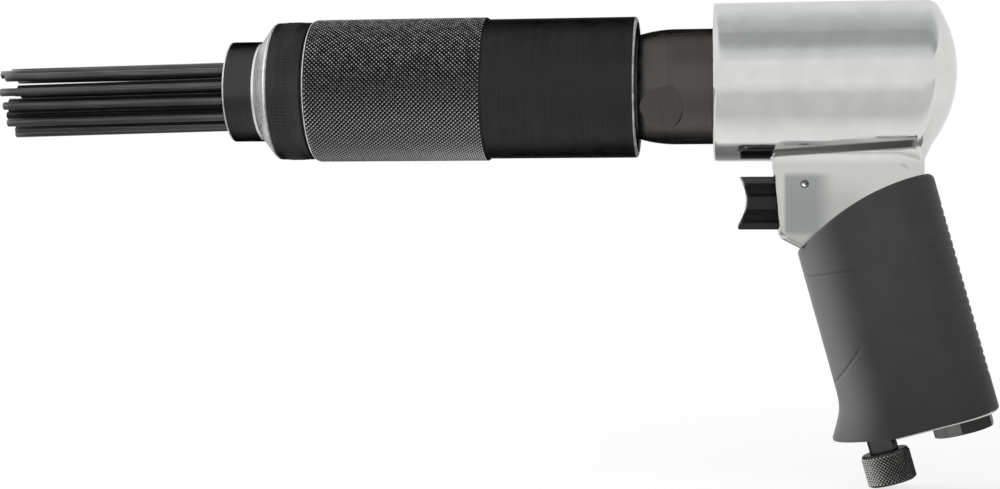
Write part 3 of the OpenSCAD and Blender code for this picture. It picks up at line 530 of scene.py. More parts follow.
# %% Cutters
def cutter_rod(start, end, radius, sides=64):
    start, end = Vector(start) * MM, Vector(end) * MM
    form = bmesh.new()
    turn = (end - start).to_track_quat("Z", "Y").to_matrix().to_4x4()
    bmesh.ops.create_cone(form, cap_ends=True, segments=sides, radius1=radius * MM, radius2=radius * MM,
                          depth=(end - start).length, matrix=Matrix.Translation((start + end) / 2) @ turn)
    return form


def cutter_box(low, high):
    low, high = Vector(low) * MM, Vector(high) * MM
    form = bmesh.new()
    size = Matrix.Diagonal((*(high - low), 1))
    bmesh.ops.create_cube(form, size=1, matrix=Matrix.Translation((low + high) / 2) @ size)
    return form


def cutter_column(outline, base, top, place):
    form = bmesh.new()
    ring = [form.verts.new(place(a, b, base) * MM) for a, b in outline]
    cap = form.faces.new(ring)
    raised = bmesh.ops.extrude_face_region(form, geom=[cap])["geom"]
    lift = (place(0, 0, top) - place(0, 0, base)) * MM
    bmesh.ops.translate(form, verts=[v for v in raised if isinstance(v, bmesh.types.BMVert)], vec=lift)
    bmesh.ops.recalc_face_normals(form, faces=form.faces)
    return form


# %% Boolean work and finishing
def apply_all(piece):
    shape = piece.evaluated_get(bpy.context.evaluated_depsgraph_get())
    old = piece.data
    piece.data = bpy.data.meshes.new_from_object(shape)
    piece.modifiers.clear()
    bpy.data.meshes.remove(old)


def work(piece, form, operation="DIFFERENCE"):
    mesh = bpy.data.meshes.new("tool")
    form.to_mesh(mesh)
    form.free()
    tool = bpy.data.objects.new("tool", mesh)
    scene.collection.objects.link(tool)
    step = piece.modifiers.new("work", "BOOLEAN")
    step.operation, step.solver, step.object = operation, "MANIFOLD", tool
    apply_all(piece)
    bpy.data.objects.remove(tool)
    bpy.data.meshes.remove(mesh)


def finish_piece(piece, material, body, slot, *replaced, crease=40):
    piece.data.materials.clear()
    piece.data.materials.append(material)
    piece.data.shade_smooth()
    piece.data.set_sharp_from_angle(angle=math.radians(crease))
    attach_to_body(piece, body)
    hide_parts(*replaced)
    print(piece.name, "has", len(piece.data.polygons), "faces")


# %% [markdown]
# ### Housing
#
# The body is a drum with a domed back whose edge is rolled. The dome's centre lies a little above the drum's
# axis. The neck is cut from flat sides with round edges, and a fillet runs between the two, wider at the
# back. A short curved groove, the crook, marks the neck's rear. The core goes down inside the rubber.

# %% Housing form
BODY_R, BODY_UP, DOME_R, DOME_X, DOME_UP, DOME_EDGE_R = 29.1, 1.4, 44.0, 224.95, 4.4, 2.2
FRONT_X, RIM_WIDE, RIM_DEEP, RIM_R = 181.7, 3.2, 0.12, 0.8
NECK_HALF, NECK_BACK, NECK_FRONT_R, NECK_BACK_R, CHIN_R = 12.3, 257.0, 3.2, 5.0, 1.6
NECK_FRONT, CHIN = (-0.9964, -0.0851, 202.8, -27.7), (-0.4524, -0.8918, 205.2, -55.8)
SWEEP_R, SWEEP_U, SWEEP_W, SWEEP_EDGE_R, OVERLAP = 80.0, 20.0, -75.9, 0.3, 0.1
NECK_SUNK, SUNK_U = 1.3, (-22, -16)
CROOK_X, CROOK_Z, CROOK_R, CROOK_WIDE, CROOK_DEEP = 246.7, -34.6, 4.35, 0.95, 0.42
CROOK_FADE_X, CROOK_FADE_Z = (247.2, 248.8), (-39.5, -37.5)
FILLET_R, FILLET_GROWTH, FILLET_X = 0.8, 3.2, (246.0, 256.0)
CORE_HALF_U, CORE_R, CORE_TOP, CORE_SHORT, CORE_END_R = 23.0, 11.9, 18.0, 0.4, 0.6
TOE_RISE = (-0.14655, -0.9892, -11.5, BASE_W)


def underside(u, w):
    return np.maximum(BASE_W - w, plane(u, w, *TOE_RISE))


def neck_form(x, y, z, u, w):
    side = np.abs(y) - NECK_HALF
    neck = round_meet(side, plane(x, z, *NECK_FRONT), NECK_FRONT_R)
    neck = round_meet(round_meet(neck, x - NECK_BACK, NECK_BACK_R), plane(x, z, *CHIN), CHIN_R)
    sweep = SWEEP_R + OVERLAP - NECK_SUNK * ramp(u, *SUNK_U) - np.hypot(u - SWEEP_U, w - SWEEP_W)
    neck = round_meet(np.maximum(neck, z), sweep, SWEEP_EDGE_R)
    crook = np.exp(-((np.hypot(x - CROOK_X, z - CROOK_Z) - CROOK_R) / CROOK_WIDE) ** 2)
    return neck + CROOK_DEEP * crook * ramp(x, *CROOK_FADE_X) * ramp(z, *CROOK_FADE_Z)


def housing_form(x, y, z):
    u, w = to_grip(x, z)
    drum = np.hypot(y, z - BODY_UP)
    dome = np.hypot(np.hypot(y, z - DOME_UP), np.maximum(x - DOME_X, 0)) - DOME_R
    crown = RIM_DEEP * np.clip((FRONT_X + RIM_WIDE - x) / RIM_WIDE, 0, 1) ** 2
    body = round_meet(drum - BODY_R + crown, dome, DOME_EDGE_R)
    body = round_meet(body, FRONT_X - x, RIM_R)
    fillet = FILLET_R + FILLET_GROWTH * ramp(x, *FILLET_X)
    shell = round_join(body, neck_form(x, y, z, u, w), fillet)
    core = round_rect(u, y, CORE_HALF_U, NECK_HALF, CORE_R)
    core = round_meet(core, underside(u, w) + CORE_SHORT, CORE_END_R)
    return np.minimum(shell, np.maximum(core, w - CORE_TOP))


housing = wrap("cast_housing", housing_form, low=(180.3, -31.0, -133.5), high=(283.0, 31.0, 32.0), step=0.8)
print("housing net:", len(housing.data.vertices), "corners")

# %% Housing cuts
PIN_X, PIN_Z = 214.3, -36.5
INLET_U, KNOB_U, BORE_TOP, BORE_CROSS, BORE_FOOT = 13.3, -16.3, -50.8, -55.8, -86
BARREL_END, BARREL_R, PASSAGE = 225, 19.05, (2.5, 32)
POCKET_LOW, POCKET_HIGH = (200.8, -7.8, -53.1), (223.2, 7.8, -33.3)
LIP_W = -84.3
LIP = [(-11.5, -17.4), (12, -17.4), (18, -16.2), (23, -12.8), (25.6, -7), (26, 0),
       (25.6, 7), (23, 12.8), (18, 16.2), (12, 17.4), (-11.5, 17.4)]
riser = from_grip(KNOB_U, 0, BORE_TOP)
BORES = {
    "roll pin": ((PIN_X, -20, PIN_Z), (PIN_X, 20, PIN_Z), 1.575, 40),
    "near countersink": ((PIN_X, -11.9, PIN_Z), (PIN_X, -13, PIN_Z), 2.2, 40),
    "far countersink": ((PIN_X, 11.9, PIN_Z), (PIN_X, 13, PIN_Z), 2.2, 40),
    "throttle valve": ((222, 0, GRIP_Z), (245.7, 0, GRIP_Z), 6.55),
    "passage to the piston": ((226.45, 0, GRIP_Z), (226.45, 0, -10), *PASSAGE),
    "seat of the inlet bushing": (from_grip(INLET_U, 0, BORE_FOOT), from_grip(INLET_U, 0, -69.8), 9.05),
    "air inlet": (from_grip(INLET_U, 0, -71), from_grip(INLET_U, 0, BORE_TOP), 5.56),
    "regulator": (from_grip(KNOB_U, 0, BORE_FOOT), riser, 5.35),
    "passage to the regulator": (
        from_grip(KNOB_U, 0, BORE_CROSS), from_grip(INLET_U, 0, BORE_CROSS), *PASSAGE),
    "passage to the throttle": ((riser.x, 0, riser.z - 1), (riser.x, 0, GRIP_Z), *PASSAGE),
}
work(housing, cutter_column(LIP, LIP_W, BASE_W + 1, from_grip), "UNION")
work(housing, cutter_rod((FRONT_X - 1, 0, 0), (BARREL_END, 0, 0), BARREL_R, sides=128))
work(housing, cutter_box(POCKET_LOW, POCKET_HIGH))
for bore in BORES.values():
    work(housing, cutter_rod(*bore))
finish_piece(housing, casting_finish, "tool_body", "polished_aluminium", "housing")

# %% [markdown]
# ### Rubber grip
#
# The rubber is a rounded column that flares into a toe at the foot. Its top follows a large circle, its
# underside rises towards the toe, and both rims are rounded, as a mould leaves them. Twenty-one grooves round
# the back leave the ribs standing, and they fade out towards the sides. Two shallow seams cross the front
# edge. Inside, the rubber follows the casting's own formula, so that it hugs the neck all round. Mirror rays
# pass it by: otherwise the polished crease under the drum would show only the grip's dark image.

# %% Rubber grip
GRIP_HALF_U, GRIP_HALF_Y, GRIP_R, GRIP_RIM_R = 27.0, 18.5, 16.0, 0.9
TOP_LIFT, TOP_LIFT_U, RIM_GROWTH, RIM_GROWTH_U = 0.15, (-14, -22), 1.4, (12, 24)
TOE_W, TOE_LEAN, TOE_SOFT = -70.5, math.tan(math.radians(31.8)), 2.0
RIB_W, RIB_PITCH, RIB_COUNT, RIB_WIDE, RIB_DEEP = -69.8, 3.05, 21, 0.5, 0.36
RIB_REACH, RIB_LESS, RIB_LESS_W, RIB_FADE = 14.0, 4.0, (-20, -55), 6
SEAMS = (((-27, -20.5), (-6.6, -22.9)), ((-27.2, -60.7), (-13.8, -48.5)))
SEAM_WIDE, SEAM_DEEP, SEAM_START, SEAM_TAIL = 0.34, 0.5, (-3, -1), 4


def seam(u, w, start, end):
    run = np.hypot(end[0] - start[0], end[1] - start[1])
    along = ((u - start[0]) * (end[0] - start[0]) + (w - start[1]) * (end[1] - start[1])) / run
    across = ((u - start[0]) * (start[1] - end[1]) + (w - start[1]) * (end[0] - start[0])) / run
    fade = ramp(along, *SEAM_START) * (1 - ramp(along, run - SEAM_TAIL, run))
    return SEAM_DEEP * fade * np.exp(-(across / SEAM_WIDE) ** 2)


def rubber_form(x, y, z):
    u, w = to_grip(x, z)
    flare = TOE_LEAN * TOE_SOFT * np.logaddexp(0, (TOE_W - w) / TOE_SOFT)
    column = round_rect(u + flare / 2, y, GRIP_HALF_U + flare / 2, GRIP_HALF_Y, GRIP_R)
    turn = (w - RIB_W) / RIB_PITCH
    notch = np.exp(-((turn - np.round(turn)) * RIB_PITCH / RIB_WIDE) ** 2)
    notch = notch * (turn > -0.5) * (turn < RIB_COUNT - 0.5)
    edge = GRIP_HALF_U - (RIB_REACH - RIB_LESS * ramp(w, *RIB_LESS_W))
    column = column + RIB_DEEP * notch * ramp(u, edge, edge + RIB_FADE)
    near_side = y < 0
    for start, end in SEAMS:
        column = column + near_side * seam(u, w, start, end)
    top = np.hypot(u - SWEEP_U, w - SWEEP_W) - SWEEP_R - TOP_LIFT * ramp(u, *TOP_LIFT_U)
    outside = round_meet(column, top, GRIP_RIM_R + RIM_GROWTH * ramp(u, *RIM_GROWTH_U))
    outside = round_meet(outside, underside(u, w), GRIP_RIM_R)
    return np.maximum(outside, -OVERLAP - housing_form(x, y, z))


rubber = wrap("moulded_grip", rubber_form, low=(203.0, -20.0, -138.0), high=(290.0, 20.0, -24.0), step=0.5)
finish_piece(rubber, rubber_finish, "tool_body", "grip_rubber", "rubber_grip")
rubber.visible_glossy = False

# %% [markdown]
# ### Trigger
#
# The trigger is a fluted bar with a round hollow for the finger in its front. All its edges are a little
# round, and a slot lets the roll pin stop its travel.

# %% Trigger
TRIGGER_HALF_Y, TRIGGER_HALF_Z, TRIGGER_FRONT, TRIGGER_BACK = 7.5, 9.6, 190.5, 217.9
FLUTE_UP, FLUTE_OUT, FLUTE_R = 4.8, 8.9, 3.0
TRAVEL = 5.0
SLOT_HALF_Y, SLOT_R, SLOT_FRONT = 9, 1.85, PIN_X - TRAVEL
TRIGGER_EDGE_R, TRIGGER_END_R, FLUTE_EDGE_R = 0.7, 0.6, 0.5


def trigger_form(x, y, z):
    up = z - GRIP_Z
    bar = round_rect(y, up, TRIGGER_HALF_Y, TRIGGER_HALF_Z, TRIGGER_EDGE_R)
    for level in (-FLUTE_UP, FLUTE_UP):
        flute = FLUTE_R - np.hypot(np.abs(y) - FLUTE_OUT, up - level)
        bar = round_meet(bar, flute, FLUTE_EDGE_R)
    finger = FINGER_R - np.hypot(x - FINGER_X, z - FINGER_Z)
    ends = np.maximum(np.maximum(TRIGGER_FRONT - x, finger), x - TRIGGER_BACK)
    return round_meet(bar, ends, TRIGGER_END_R)


trigger = wrap("fluted_trigger", trigger_form, low=(189.6, -8.4, -53.7), high=(218.8, 8.4, -32.7), step=0.3)
for end_x in (PIN_X, SLOT_FRONT):
    work(trigger, cutter_rod((end_x, -SLOT_HALF_Y, PIN_Z), (end_x, SLOT_HALF_Y, PIN_Z), SLOT_R, 40))
slot_low, slot_high = (SLOT_FRONT, -SLOT_HALF_Y, PIN_Z - SLOT_R), (PIN_X, SLOT_HALF_Y, PIN_Z + SLOT_R)
work(trigger, cutter_box(slot_low, slot_high))
finish_piece(trigger, plastic_finish, "trigger", "trigger_plastic", "trigger")

# %% [markdown]
# ## Turned pieces and knurls
#
# A knurl is rolled into the steel with two hardened wheels, which leaves hundreds of small pyramids in
# staggered rows. That is a rule, so Geometry Nodes make it: one point for every pyramid, placed by its
# number, and a small four-sided cone set on every point. The plain body underneath is turned like on a lathe,
# from a profile of radii and places along the axis.

# %% Lathe
def lathe(name, profile, sides):
    rings = np.array(profile, float)
    turn = np.arange(sides) * 2 * math.pi / sides
    along = np.repeat(rings[:, 1][:, None], sides, 1)
    points = np.stack([along, -rings[:, :1] * np.sin(turn), rings[:, :1] * np.cos(turn)], 2).reshape(-1, 3)
    here, after = np.meshgrid(np.arange(len(rings)), np.arange(sides), indexing="ij")
    below, beside = (here + 1) % len(rings), (after + 1) % sides
    corners = ((here, after), (here, beside), (below, beside), (below, after))
    faces = np.stack([ring * sides + place for ring, place in corners], 2).reshape(-1, 4)
    piece = new_piece(name, points, faces)
    form = bmesh.new()
    form.from_mesh(piece.data)
    bmesh.ops.recalc_face_normals(form, faces=form.faces)
    form.to_mesh(piece.data)
    form.free()
    return piece


# %% Node tree helpers
def new_tree(name, measures, counts=()):
    tree = bpy.data.node_groups.new(name, "GeometryNodeTree")
    kinds = {"NodeSocketFloat": measures, "NodeSocketInt": counts, "NodeSocketMaterial": ["Finish"]}
    for kind, labels in kinds.items():
        for label in labels:
            tree.interface.new_socket(label, in_out="INPUT", socket_type=kind)
    tree.interface.new_socket("Geometry", in_out="OUTPUT", socket_type="NodeSocketGeometry")
    return tree, tree.nodes.new("NodeGroupInput").outputs


def hand_out(tree, geometry, given):
    dressed = add_node(tree, "GeometryNodeSetMaterial", {"Geometry": geometry, "Material": given["Finish"]})
    tree.links.new(dressed.outputs[0], tree.nodes.new("NodeGroupOutput").inputs[0])
    print(tree.name, "has", len(tree.nodes), "nodes")


def grow(name, tree, values):
    piece = bpy.data.objects.new(name, bpy.data.meshes.new(name))
    scene.collection.objects.link(piece)
    step = piece.modifiers.new("grow", "NODES")
    step.node_group = tree
    for socket in tree.interface.items_tree:
        if socket.in_out == "INPUT" and socket.name in values:
            step[socket.identifier] = values[socket.name]
    apply_all(piece)
    return piece


# %% Cones set round an axis
def cut_cone(tree, bottom, top, depth):
    cone = add_node(tree, "GeometryNodeMeshCone",
                    {"Vertices": 4, "Radius Bottom": bottom, "Radius Top": top, "Depth": depth})
    bare = add_node(tree, "GeometryNodeDeleteGeometry",
                    {"Geometry": cone.outputs["Mesh"], "Selection": cone.outputs["Bottom"]}, domain="FACE")
    return bare.outputs[0]


def set_round(tree, count, turn, along, radius, cone):
    side = product(tree, calc(tree, "SINE", turn), product(tree, radius, -1.0))
    up = product(tree, calc(tree, "COSINE", turn), radius)
    place = add_node(tree, "ShaderNodeCombineXYZ", {"X": along, "Y": side, "Z": up}).outputs[0]
    points = add_node(tree, "GeometryNodePoints", {"Count": count}).outputs[0]
    placed = add_node(tree, "GeometryNodeSetPosition", {"Geometry": points, "Position": place}).outputs[0]
    lean = add_node(tree, "ShaderNodeCombineXYZ", {"X": turn}).outputs[0]
    facing = add_node(tree, "FunctionNodeEulerToRotation", {0: lean}).outputs[0]
    copies = add_node(tree, "GeometryNodeInstanceOnPoints",
                      {"Points": placed, "Instance": cone, "Rotation": facing})
    return add_node(tree, "GeometryNodeRealizeInstances", {"Geometry": copies.outputs[0]}).outputs[0]


# %% [markdown]
# ### Knurl
#
# Two attributes are kept on each pyramid for the finish: the height inside it, so that the valleys stay black
# and the tips show bright wear with a painted glint, and the way each face slants, so that the faces slanting
# one way carry a painted highlight. Pyramids that touch are welded at their corners.

# %% Knurl tree
WELD = 0.00003
tree, given = new_tree("diamond_knurl", counts=["Around", "Rows"], measures=[
    "Valley Radius", "Start", "Half Diagonal", "Height", "Flat Share"])
index = add_node(tree, "GeometryNodeInputIndex").outputs[0]
row = calc(tree, "FLOOR", calc(tree, "DIVIDE", calc(tree, "ADD", index, 0.5), given["Around"]))
column = calc(tree, "SUBTRACT", index, product(tree, row, given["Around"]))
stagger = product(tree, calc(tree, "MODULO", row, 2.0), 0.5)
share = calc(tree, "DIVIDE", calc(tree, "ADD", column, stagger), given["Around"])
turn = product(tree, share, 2 * math.pi)
along = calc(tree, "ADD", given["Start"], product(tree, row, given["Half Diagonal"]))
top = product(tree, given["Half Diagonal"], given["Flat Share"])
pyramid = cut_cone(tree, given["Half Diagonal"], top, given["Height"])
spot = add_node(tree, "GeometryNodeInputPosition").outputs[0]
depth = add_node(tree, "ShaderNodeSeparateXYZ", {0: spot}).outputs["Z"]
wear_and_glint = calc(tree, "DIVIDE", depth, given["Height"])
normal = add_node(tree, "GeometryNodeInputNormal").outputs[0]
face = add_node(tree, "ShaderNodeSeparateXYZ", {0: normal}).outputs
slant = calc(tree, "SUBTRACT", face["Y"], face["X"])
for label, value, domain in (("wear_and_glint", wear_and_glint, "POINT"), ("painted_lit_side", slant, "FACE")):
    pyramid = add_node(tree, "GeometryNodeStoreNamedAttribute",
                       {"Geometry": pyramid, "Name": label, "Value": value},
                       data_type="FLOAT", domain=domain).outputs[0]
pyramids = set_round(tree, product(tree, given["Around"], given["Rows"]), turn, along,
                     given["Valley Radius"], pyramid)
welded = add_node(tree, "GeometryNodeMergeByDistance", {"Geometry": pyramids, "Distance": WELD})
hand_out(tree, welded.outputs[0], given)
knurl_tree = tree


# %% Knurl finish
KNURL_ROUGH, SIDE_LIGHT, TIP_LOSS = 0.48, 0.85, 0.9


def knurl_finish(name, valley, peak):
    mat, tree, shader = new_finish(name, valley, 1.0, KNURL_ROUGH, Specular_Tint=(0.5, 0.5, 0.5, 1))
    height, side = tree.nodes.new("ShaderNodeAttribute"), tree.nodes.new("ShaderNodeAttribute")
    height.attribute_name, side.attribute_name = "wear_and_glint", "painted_lit_side"
    # Tips: wear with a painted glint, mostly on the upper part. Lower down, faces that slant one way carry a
    # painted highlight.
    start = spread(tree, grain(tree, 2.2, detail=2.0), 0.75, 0.3)
    tips = spread(tree, height.outputs["Fac"], 0, 1, start, 1.0)
    below = spread(tree, axis_mm(tree, "Z"), 1.0, 0.15, -8.0, 10.0)
    sides = product(tree, spread(tree, side.outputs["Fac"], 0, SIDE_LIGHT, 0.1, 0.6), below)
    tips = product(tree, tips, calc(tree, "SUBTRACT", 1.0, product(tree, below, TIP_LOSS)))
    share = calc(tree, "MAXIMUM", tips, sides)
    paint(tree, shader, mix_colors(tree, share, valley, peak),
          spread(tree, grain(tree, 5.0), KNURL_ROUGH * SMOOTHER, KNURL_ROUGH * ROUGHER))
    return mat


def roll_knurl(name, finish, valley, high, around, start, end, lead, margin, flat_share):
    half_diagonal = math.pi * valley / around
    return grow(name, knurl_tree, {
        "Valley Radius": valley * MM, "Around": around, "Rows": int((end - start - margin) / half_diagonal),
        "Start": (start + lead + half_diagonal) * MM, "Half Diagonal": half_diagonal * MM,
        "Height": high * MM, "Flat Share": flat_share, "Finish": finish})


# %% [markdown]
# ### Knurled sleeve
#
# A hundred pyramids go round the sleeve, in rows half a diagonal apart, so that the valleys cross at right
# angles. A plain chamfered ring ends the knurl at the front and at the back.

# %% Knurled sleeve
KNURL_R, KNURL_X, KNURL_END, KNURL_HIGH = 26.825, 32.1, 98.2, 0.42
SLEEVE_BORE, SLEEVE_SEAT, SLEEVE_STEPS = 21.3, 23.75, (36.1, 86.2)
EDGE_DROP, EDGE_RISE, EDGE_LONG = 0.1, 0.02, 0.12
sleeve_knurl = knurl_finish("knurled_black_steel", (0.018, 0.018, 0.018), (0.68, 0.68, 0.67))
valley = KNURL_R - KNURL_HIGH
knurl = roll_knurl("sleeve_knurl", sleeve_knurl, valley, KNURL_HIGH, around=100, start=KNURL_X, end=KNURL_END,
                   lead=0.55, margin=0.7, flat_share=0.16)
finish_piece(knurl, sleeve_knurl, "tool_body", "knurled_steel", "knurled_sleeve", crease=20)
sleeve = lathe("knurled_sleeve_body", [
    (SLEEVE_BORE, SLEEVE_STEPS[0]), (SLEEVE_SEAT, SLEEVE_STEPS[0]), (SLEEVE_SEAT, KNURL_X),
    (valley - EDGE_DROP, KNURL_X), (valley + EDGE_RISE, KNURL_X + EDGE_LONG),
    (valley + EDGE_RISE, KNURL_END - EDGE_LONG), (valley - EDGE_DROP, KNURL_END), (SLEEVE_SEAT, KNURL_END),
    (SLEEVE_SEAT, SLEEVE_STEPS[1]), (SLEEVE_BORE, SLEEVE_STEPS[1])], sides=160)
finish_piece(sleeve, rim_finish, "tool_body", "knurled_steel", "knurled_sleeve")

# %% [markdown]
# ### Regulator knob
#
# The knob carries a finer knurl and screws in and out of the grip on its stem. It is turned along X first,
# like everything from the lathe, and then laid into the grip's frame. The stem has a groove for its seal and
# ends in a cone.

# %% Regulator knob
KNOB_R, KNOB_HIGH, KNOB_TOP, KNOB_END, KNOB_CHAMFER_R = 8.9, 0.4, 89.1, 100.8, 8.0
STEM_R, GROOVE_R, CONE_R, AXIS_R, KNOB_EDGE = 5.25, 3.65, 1.75, 0.01, 0.5
GROOVE, CONE = (68.4, 66.7), (63.8, 58.8)
foot = from_grip(KNOB_U, 0, 0) * MM
downward = (from_grip(0, 0, -1) - from_grip(0, 0, 0)).normalized()
sideways = Vector((0, 1, 0))
turned = Matrix((downward, sideways, downward.cross(sideways))).transposed().to_4x4()
into_grip = Matrix.Translation(foot) @ turned
knob_steel = knurl_finish("knurled_knob_steel", (0.03, 0.03, 0.03), (0.72, 0.71, 0.67))
valley = KNOB_R - KNOB_HIGH
knob_knurl = roll_knurl("knob_knurl", knob_steel, valley, KNOB_HIGH, around=40, start=KNOB_TOP, end=KNOB_END,
                        lead=0.8, margin=1.4, flat_share=0.18)
knob_knurl.data.transform(into_grip)
finish_piece(knob_knurl, knob_steel, "regulator", "black_steel", "regulator_knob", crease=20)
knob_body = lathe("knob_body", [
    (AXIS_R, KNOB_END), (KNOB_CHAMFER_R, KNOB_END), (valley, KNOB_END - KNOB_EDGE),
    (valley, KNOB_TOP + KNOB_EDGE),
    (KNOB_CHAMFER_R, KNOB_TOP), (STEM_R, KNOB_TOP), (STEM_R, GROOVE[0]), (GROOVE_R, GROOVE[0]),
    (GROOVE_R, GROOVE[1]), (STEM_R, GROOVE[1]), (STEM_R, CONE[0]), (CONE_R, CONE[1]), (AXIS_R, CONE[1])],
    sides=96)
knob_body.data.transform(into_grip)
finish_piece(knob_body, fitting_finish, "regulator", "black_steel", "regulator_knob")

# %% [markdown]
# ### Lock ring
#
# Fine straight serrations run along the lock ring. One low ridge is set on each of 120 points round it. The
# ridge is the same four-sided cone, turned by 45 degrees so that its base is a square, and then stretched.

# %% Serration tree
HALF_SQUARE, RIDGE_TOP = 0.7071, 0.35
tree, given = new_tree("straight_ridges", counts=["Around"], measures=[
    "Radius", "Middle", "Length", "Width", "Height"])
index = add_node(tree, "GeometryNodeInputIndex").outputs[0]
turn = product(tree, calc(tree, "DIVIDE", index, given["Around"]), 2 * math.pi)
squared = add_node(tree, "GeometryNodeTransform",
                   {"Geometry": cut_cone(tree, HALF_SQUARE, RIDGE_TOP, 1.0), "Rotation": (0, 0, math.pi / 4)})
size = add_node(tree, "ShaderNodeCombineXYZ",
                {"X": given["Length"], "Y": given["Width"], "Z": given["Height"]}).outputs[0]
ridge = add_node(tree, "GeometryNodeTransform", {"Geometry": squared.outputs[0], "Scale": size}).outputs[0]
hand_out(tree, set_round(tree, given["Around"], turn, given["Middle"], given["Radius"], ridge), given)
ridge_tree = tree

# %% Lock ring
RING_R, RING_X, RING_END, RING_BORE, RING_NECK_R = 26.1, 17.9, 31.0, 23.75, 24.7
RIDGE_COUNT, RIDGE_HIGH, RIDGE_WIDE, RIDGE_SHORT, RIDGE_SUNK = 120, 0.2, 0.95, 4.4, 0.01
RING_GAP = 0.05
ring_floor, ring_back = RING_R - RIDGE_HIGH, KNURL_X - RING_GAP
ring = lathe("lock_ring_body", [
    (RING_BORE, RING_X), (RING_R - 0.36, RING_X), (RING_R - 0.22, RING_X + 0.4), (ring_floor, RING_X + 1.0),
    (ring_floor, RING_END - 0.6), (RING_R - 0.7, RING_END), (RING_NECK_R, RING_END),
    (RING_NECK_R, ring_back), (RING_BORE, ring_back)], sides=160)
finish_piece(ring, ring_finish, "tool_body", "black_steel", "lock_ring")
ridges = grow("lock_ring_ridges", ridge_tree, {
    "Radius": (ring_floor - RIDGE_SUNK) * MM, "Around": RIDGE_COUNT, "Middle": (RING_X + RING_END) / 2 * MM,
    "Length": (RING_END - RING_X - RIDGE_SHORT) * MM, "Width": RIDGE_WIDE * MM, "Height": RIDGE_HIGH * MM,
    "Finish": ring_finish})
finish_piece(ridges, ring_finish, "tool_body", "black_steel", "lock_ring", crease=20)

# %% [markdown]
# ## Springs
#
# Both coils are wound wire: a spiral curve with a round profile. Each is set on the tool's body.

# %% Spring tree
tree, given = new_tree("wound_spring", measures=["Turns", "Coil Radius", "Length", "Wire Radius"])
wire = add_node(tree, "GeometryNodeCurveSpiral", {
    "Resolution": 40, "Rotations": given["Turns"], "Start Radius": given["Coil Radius"],
    "End Radius": given["Coil Radius"], "Height": given["Length"]})
section = add_node(tree, "GeometryNodeCurvePrimitiveCircle",
                   {"Resolution": 14, "Radius": given["Wire Radius"]})
tube = add_node(tree, "GeometryNodeCurveToMesh",
                {"Curve": wire.outputs[0], "Profile Curve": section.outputs[0], "Fill Caps": True})
real = add_node(tree, "GeometryNodeRealizeInstances", {"Geometry": tube.outputs[0]})
hand_out(tree, real.outputs[0], given)
spring_tree = tree


# %% Springs
def wind(name, replaced, start, end, height, coil_radius, wire_radius, turns):
    piece = grow(name, spring_tree, {
        "Turns": turns, "Coil Radius": coil_radius * MM, "Wire Radius": wire_radius * MM,
        "Length": (end - start - 2 * wire_radius) * MM, "Finish": ground_finish})
    along_x = Matrix.Rotation(math.pi / 2, 4, "Y")
    piece.data.transform(Matrix.Translation(Vector((start + wire_radius, 0, height)) * MM) @ along_x)
    finish_piece(piece, ground_finish, "tool_body", "spring_steel", replaced, crease=60)
    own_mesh(piece)


wind("return_spring", "needle_spring", start=36.15, end=72.25, height=0,
     coil_radius=19.45, wire_radius=1.2, turns=7)
wind("valve_spring", "throttle_spring", start=234.175, end=245.675, height=GRIP_Z,
     coil_radius=3.7, wire_radius=0.45, turns=5)

# %% [markdown]
# ## Studio
#
# A pale floor runs out into a white world, so no horizon shows. The world is white to the camera and to
# mirror rays, and about half as strong to matt surfaces, which leaves room for two soft lamps. Polished
# metal is only as good as what it mirrors, so one grey card hangs above the tool and three lie on the floor
# round it, as a photographer would place them. No camera sees them.

# %% World
SOFT_LIGHT = 0.55


def watched(tree):
    rays = tree.nodes.new("ShaderNodeLightPath").outputs
    direct = calc(tree, "MAXIMUM", rays["Is Camera Ray"], rays["Is Glossy Ray"])
    return calc(tree, "MAXIMUM", direct, rays["Is Transmission Ray"])


scene.world = bpy.data.worlds.new("studio")
scene.world.use_nodes = True
sky = scene.world.node_tree
background = sky.nodes["Background"]
background.inputs["Color"].default_value = (1, 1, 1, 1)
strength = spread(sky, watched(sky), SOFT_LIGHT, 1.0, start=0.0, end=1.0)
sky.links.new(strength, background.inputs["Strength"])
print("world: strength", SOFT_LIGHT, "on matt surfaces")


# %% Lamps
def softbox(name, place, size, watts):
    lamp = bpy.data.lights.new(name, "AREA")
    lamp.shape = "RECTANGLE"
    lamp.size, lamp.size_y = size
    lamp.energy = watts
    box = bpy.data.objects.new(name, lamp)
    box.location = place
    middle = (cad_low + cad_high) / 2
    box.rotation_euler = (middle - Vector(place)).to_track_quat("-Z", "Y").to_euler()
    box.visible_glossy = False
    scene.collection.objects.link(box)


softbox("softbox_front", place=(0.2, -1.4, 0.8), size=(2.0, 1.0), watts=6.0)
softbox("softbox_left", place=(-1.0, -0.04, 0.2), size=(0.7, 0.7), watts=28)

# %% [markdown]
# ### Floor and cards
#
# The floor is matt and keeps the tool's soft shadow. To the camera and to mirror rays it fades into the white
# world with distance. A card glows in greys that change from its front edge to its back edge, and only mirror
# rays see it, so it shapes the bands on polished metal and changes nothing else.

# %% Floor
def flat_sheet(name, x0, x1, y0, y1, z):
    mesh = bpy.data.meshes.new(name)
    mesh.from_pydata([(x0, y0, z), (x1, y0, z), (x1, y1, z), (x0, y1, z)], [], [(0, 1, 2, 3)])
    sheet = bpy.data.objects.new(name, mesh)
    scene.collection.objects.link(sheet)
    return sheet


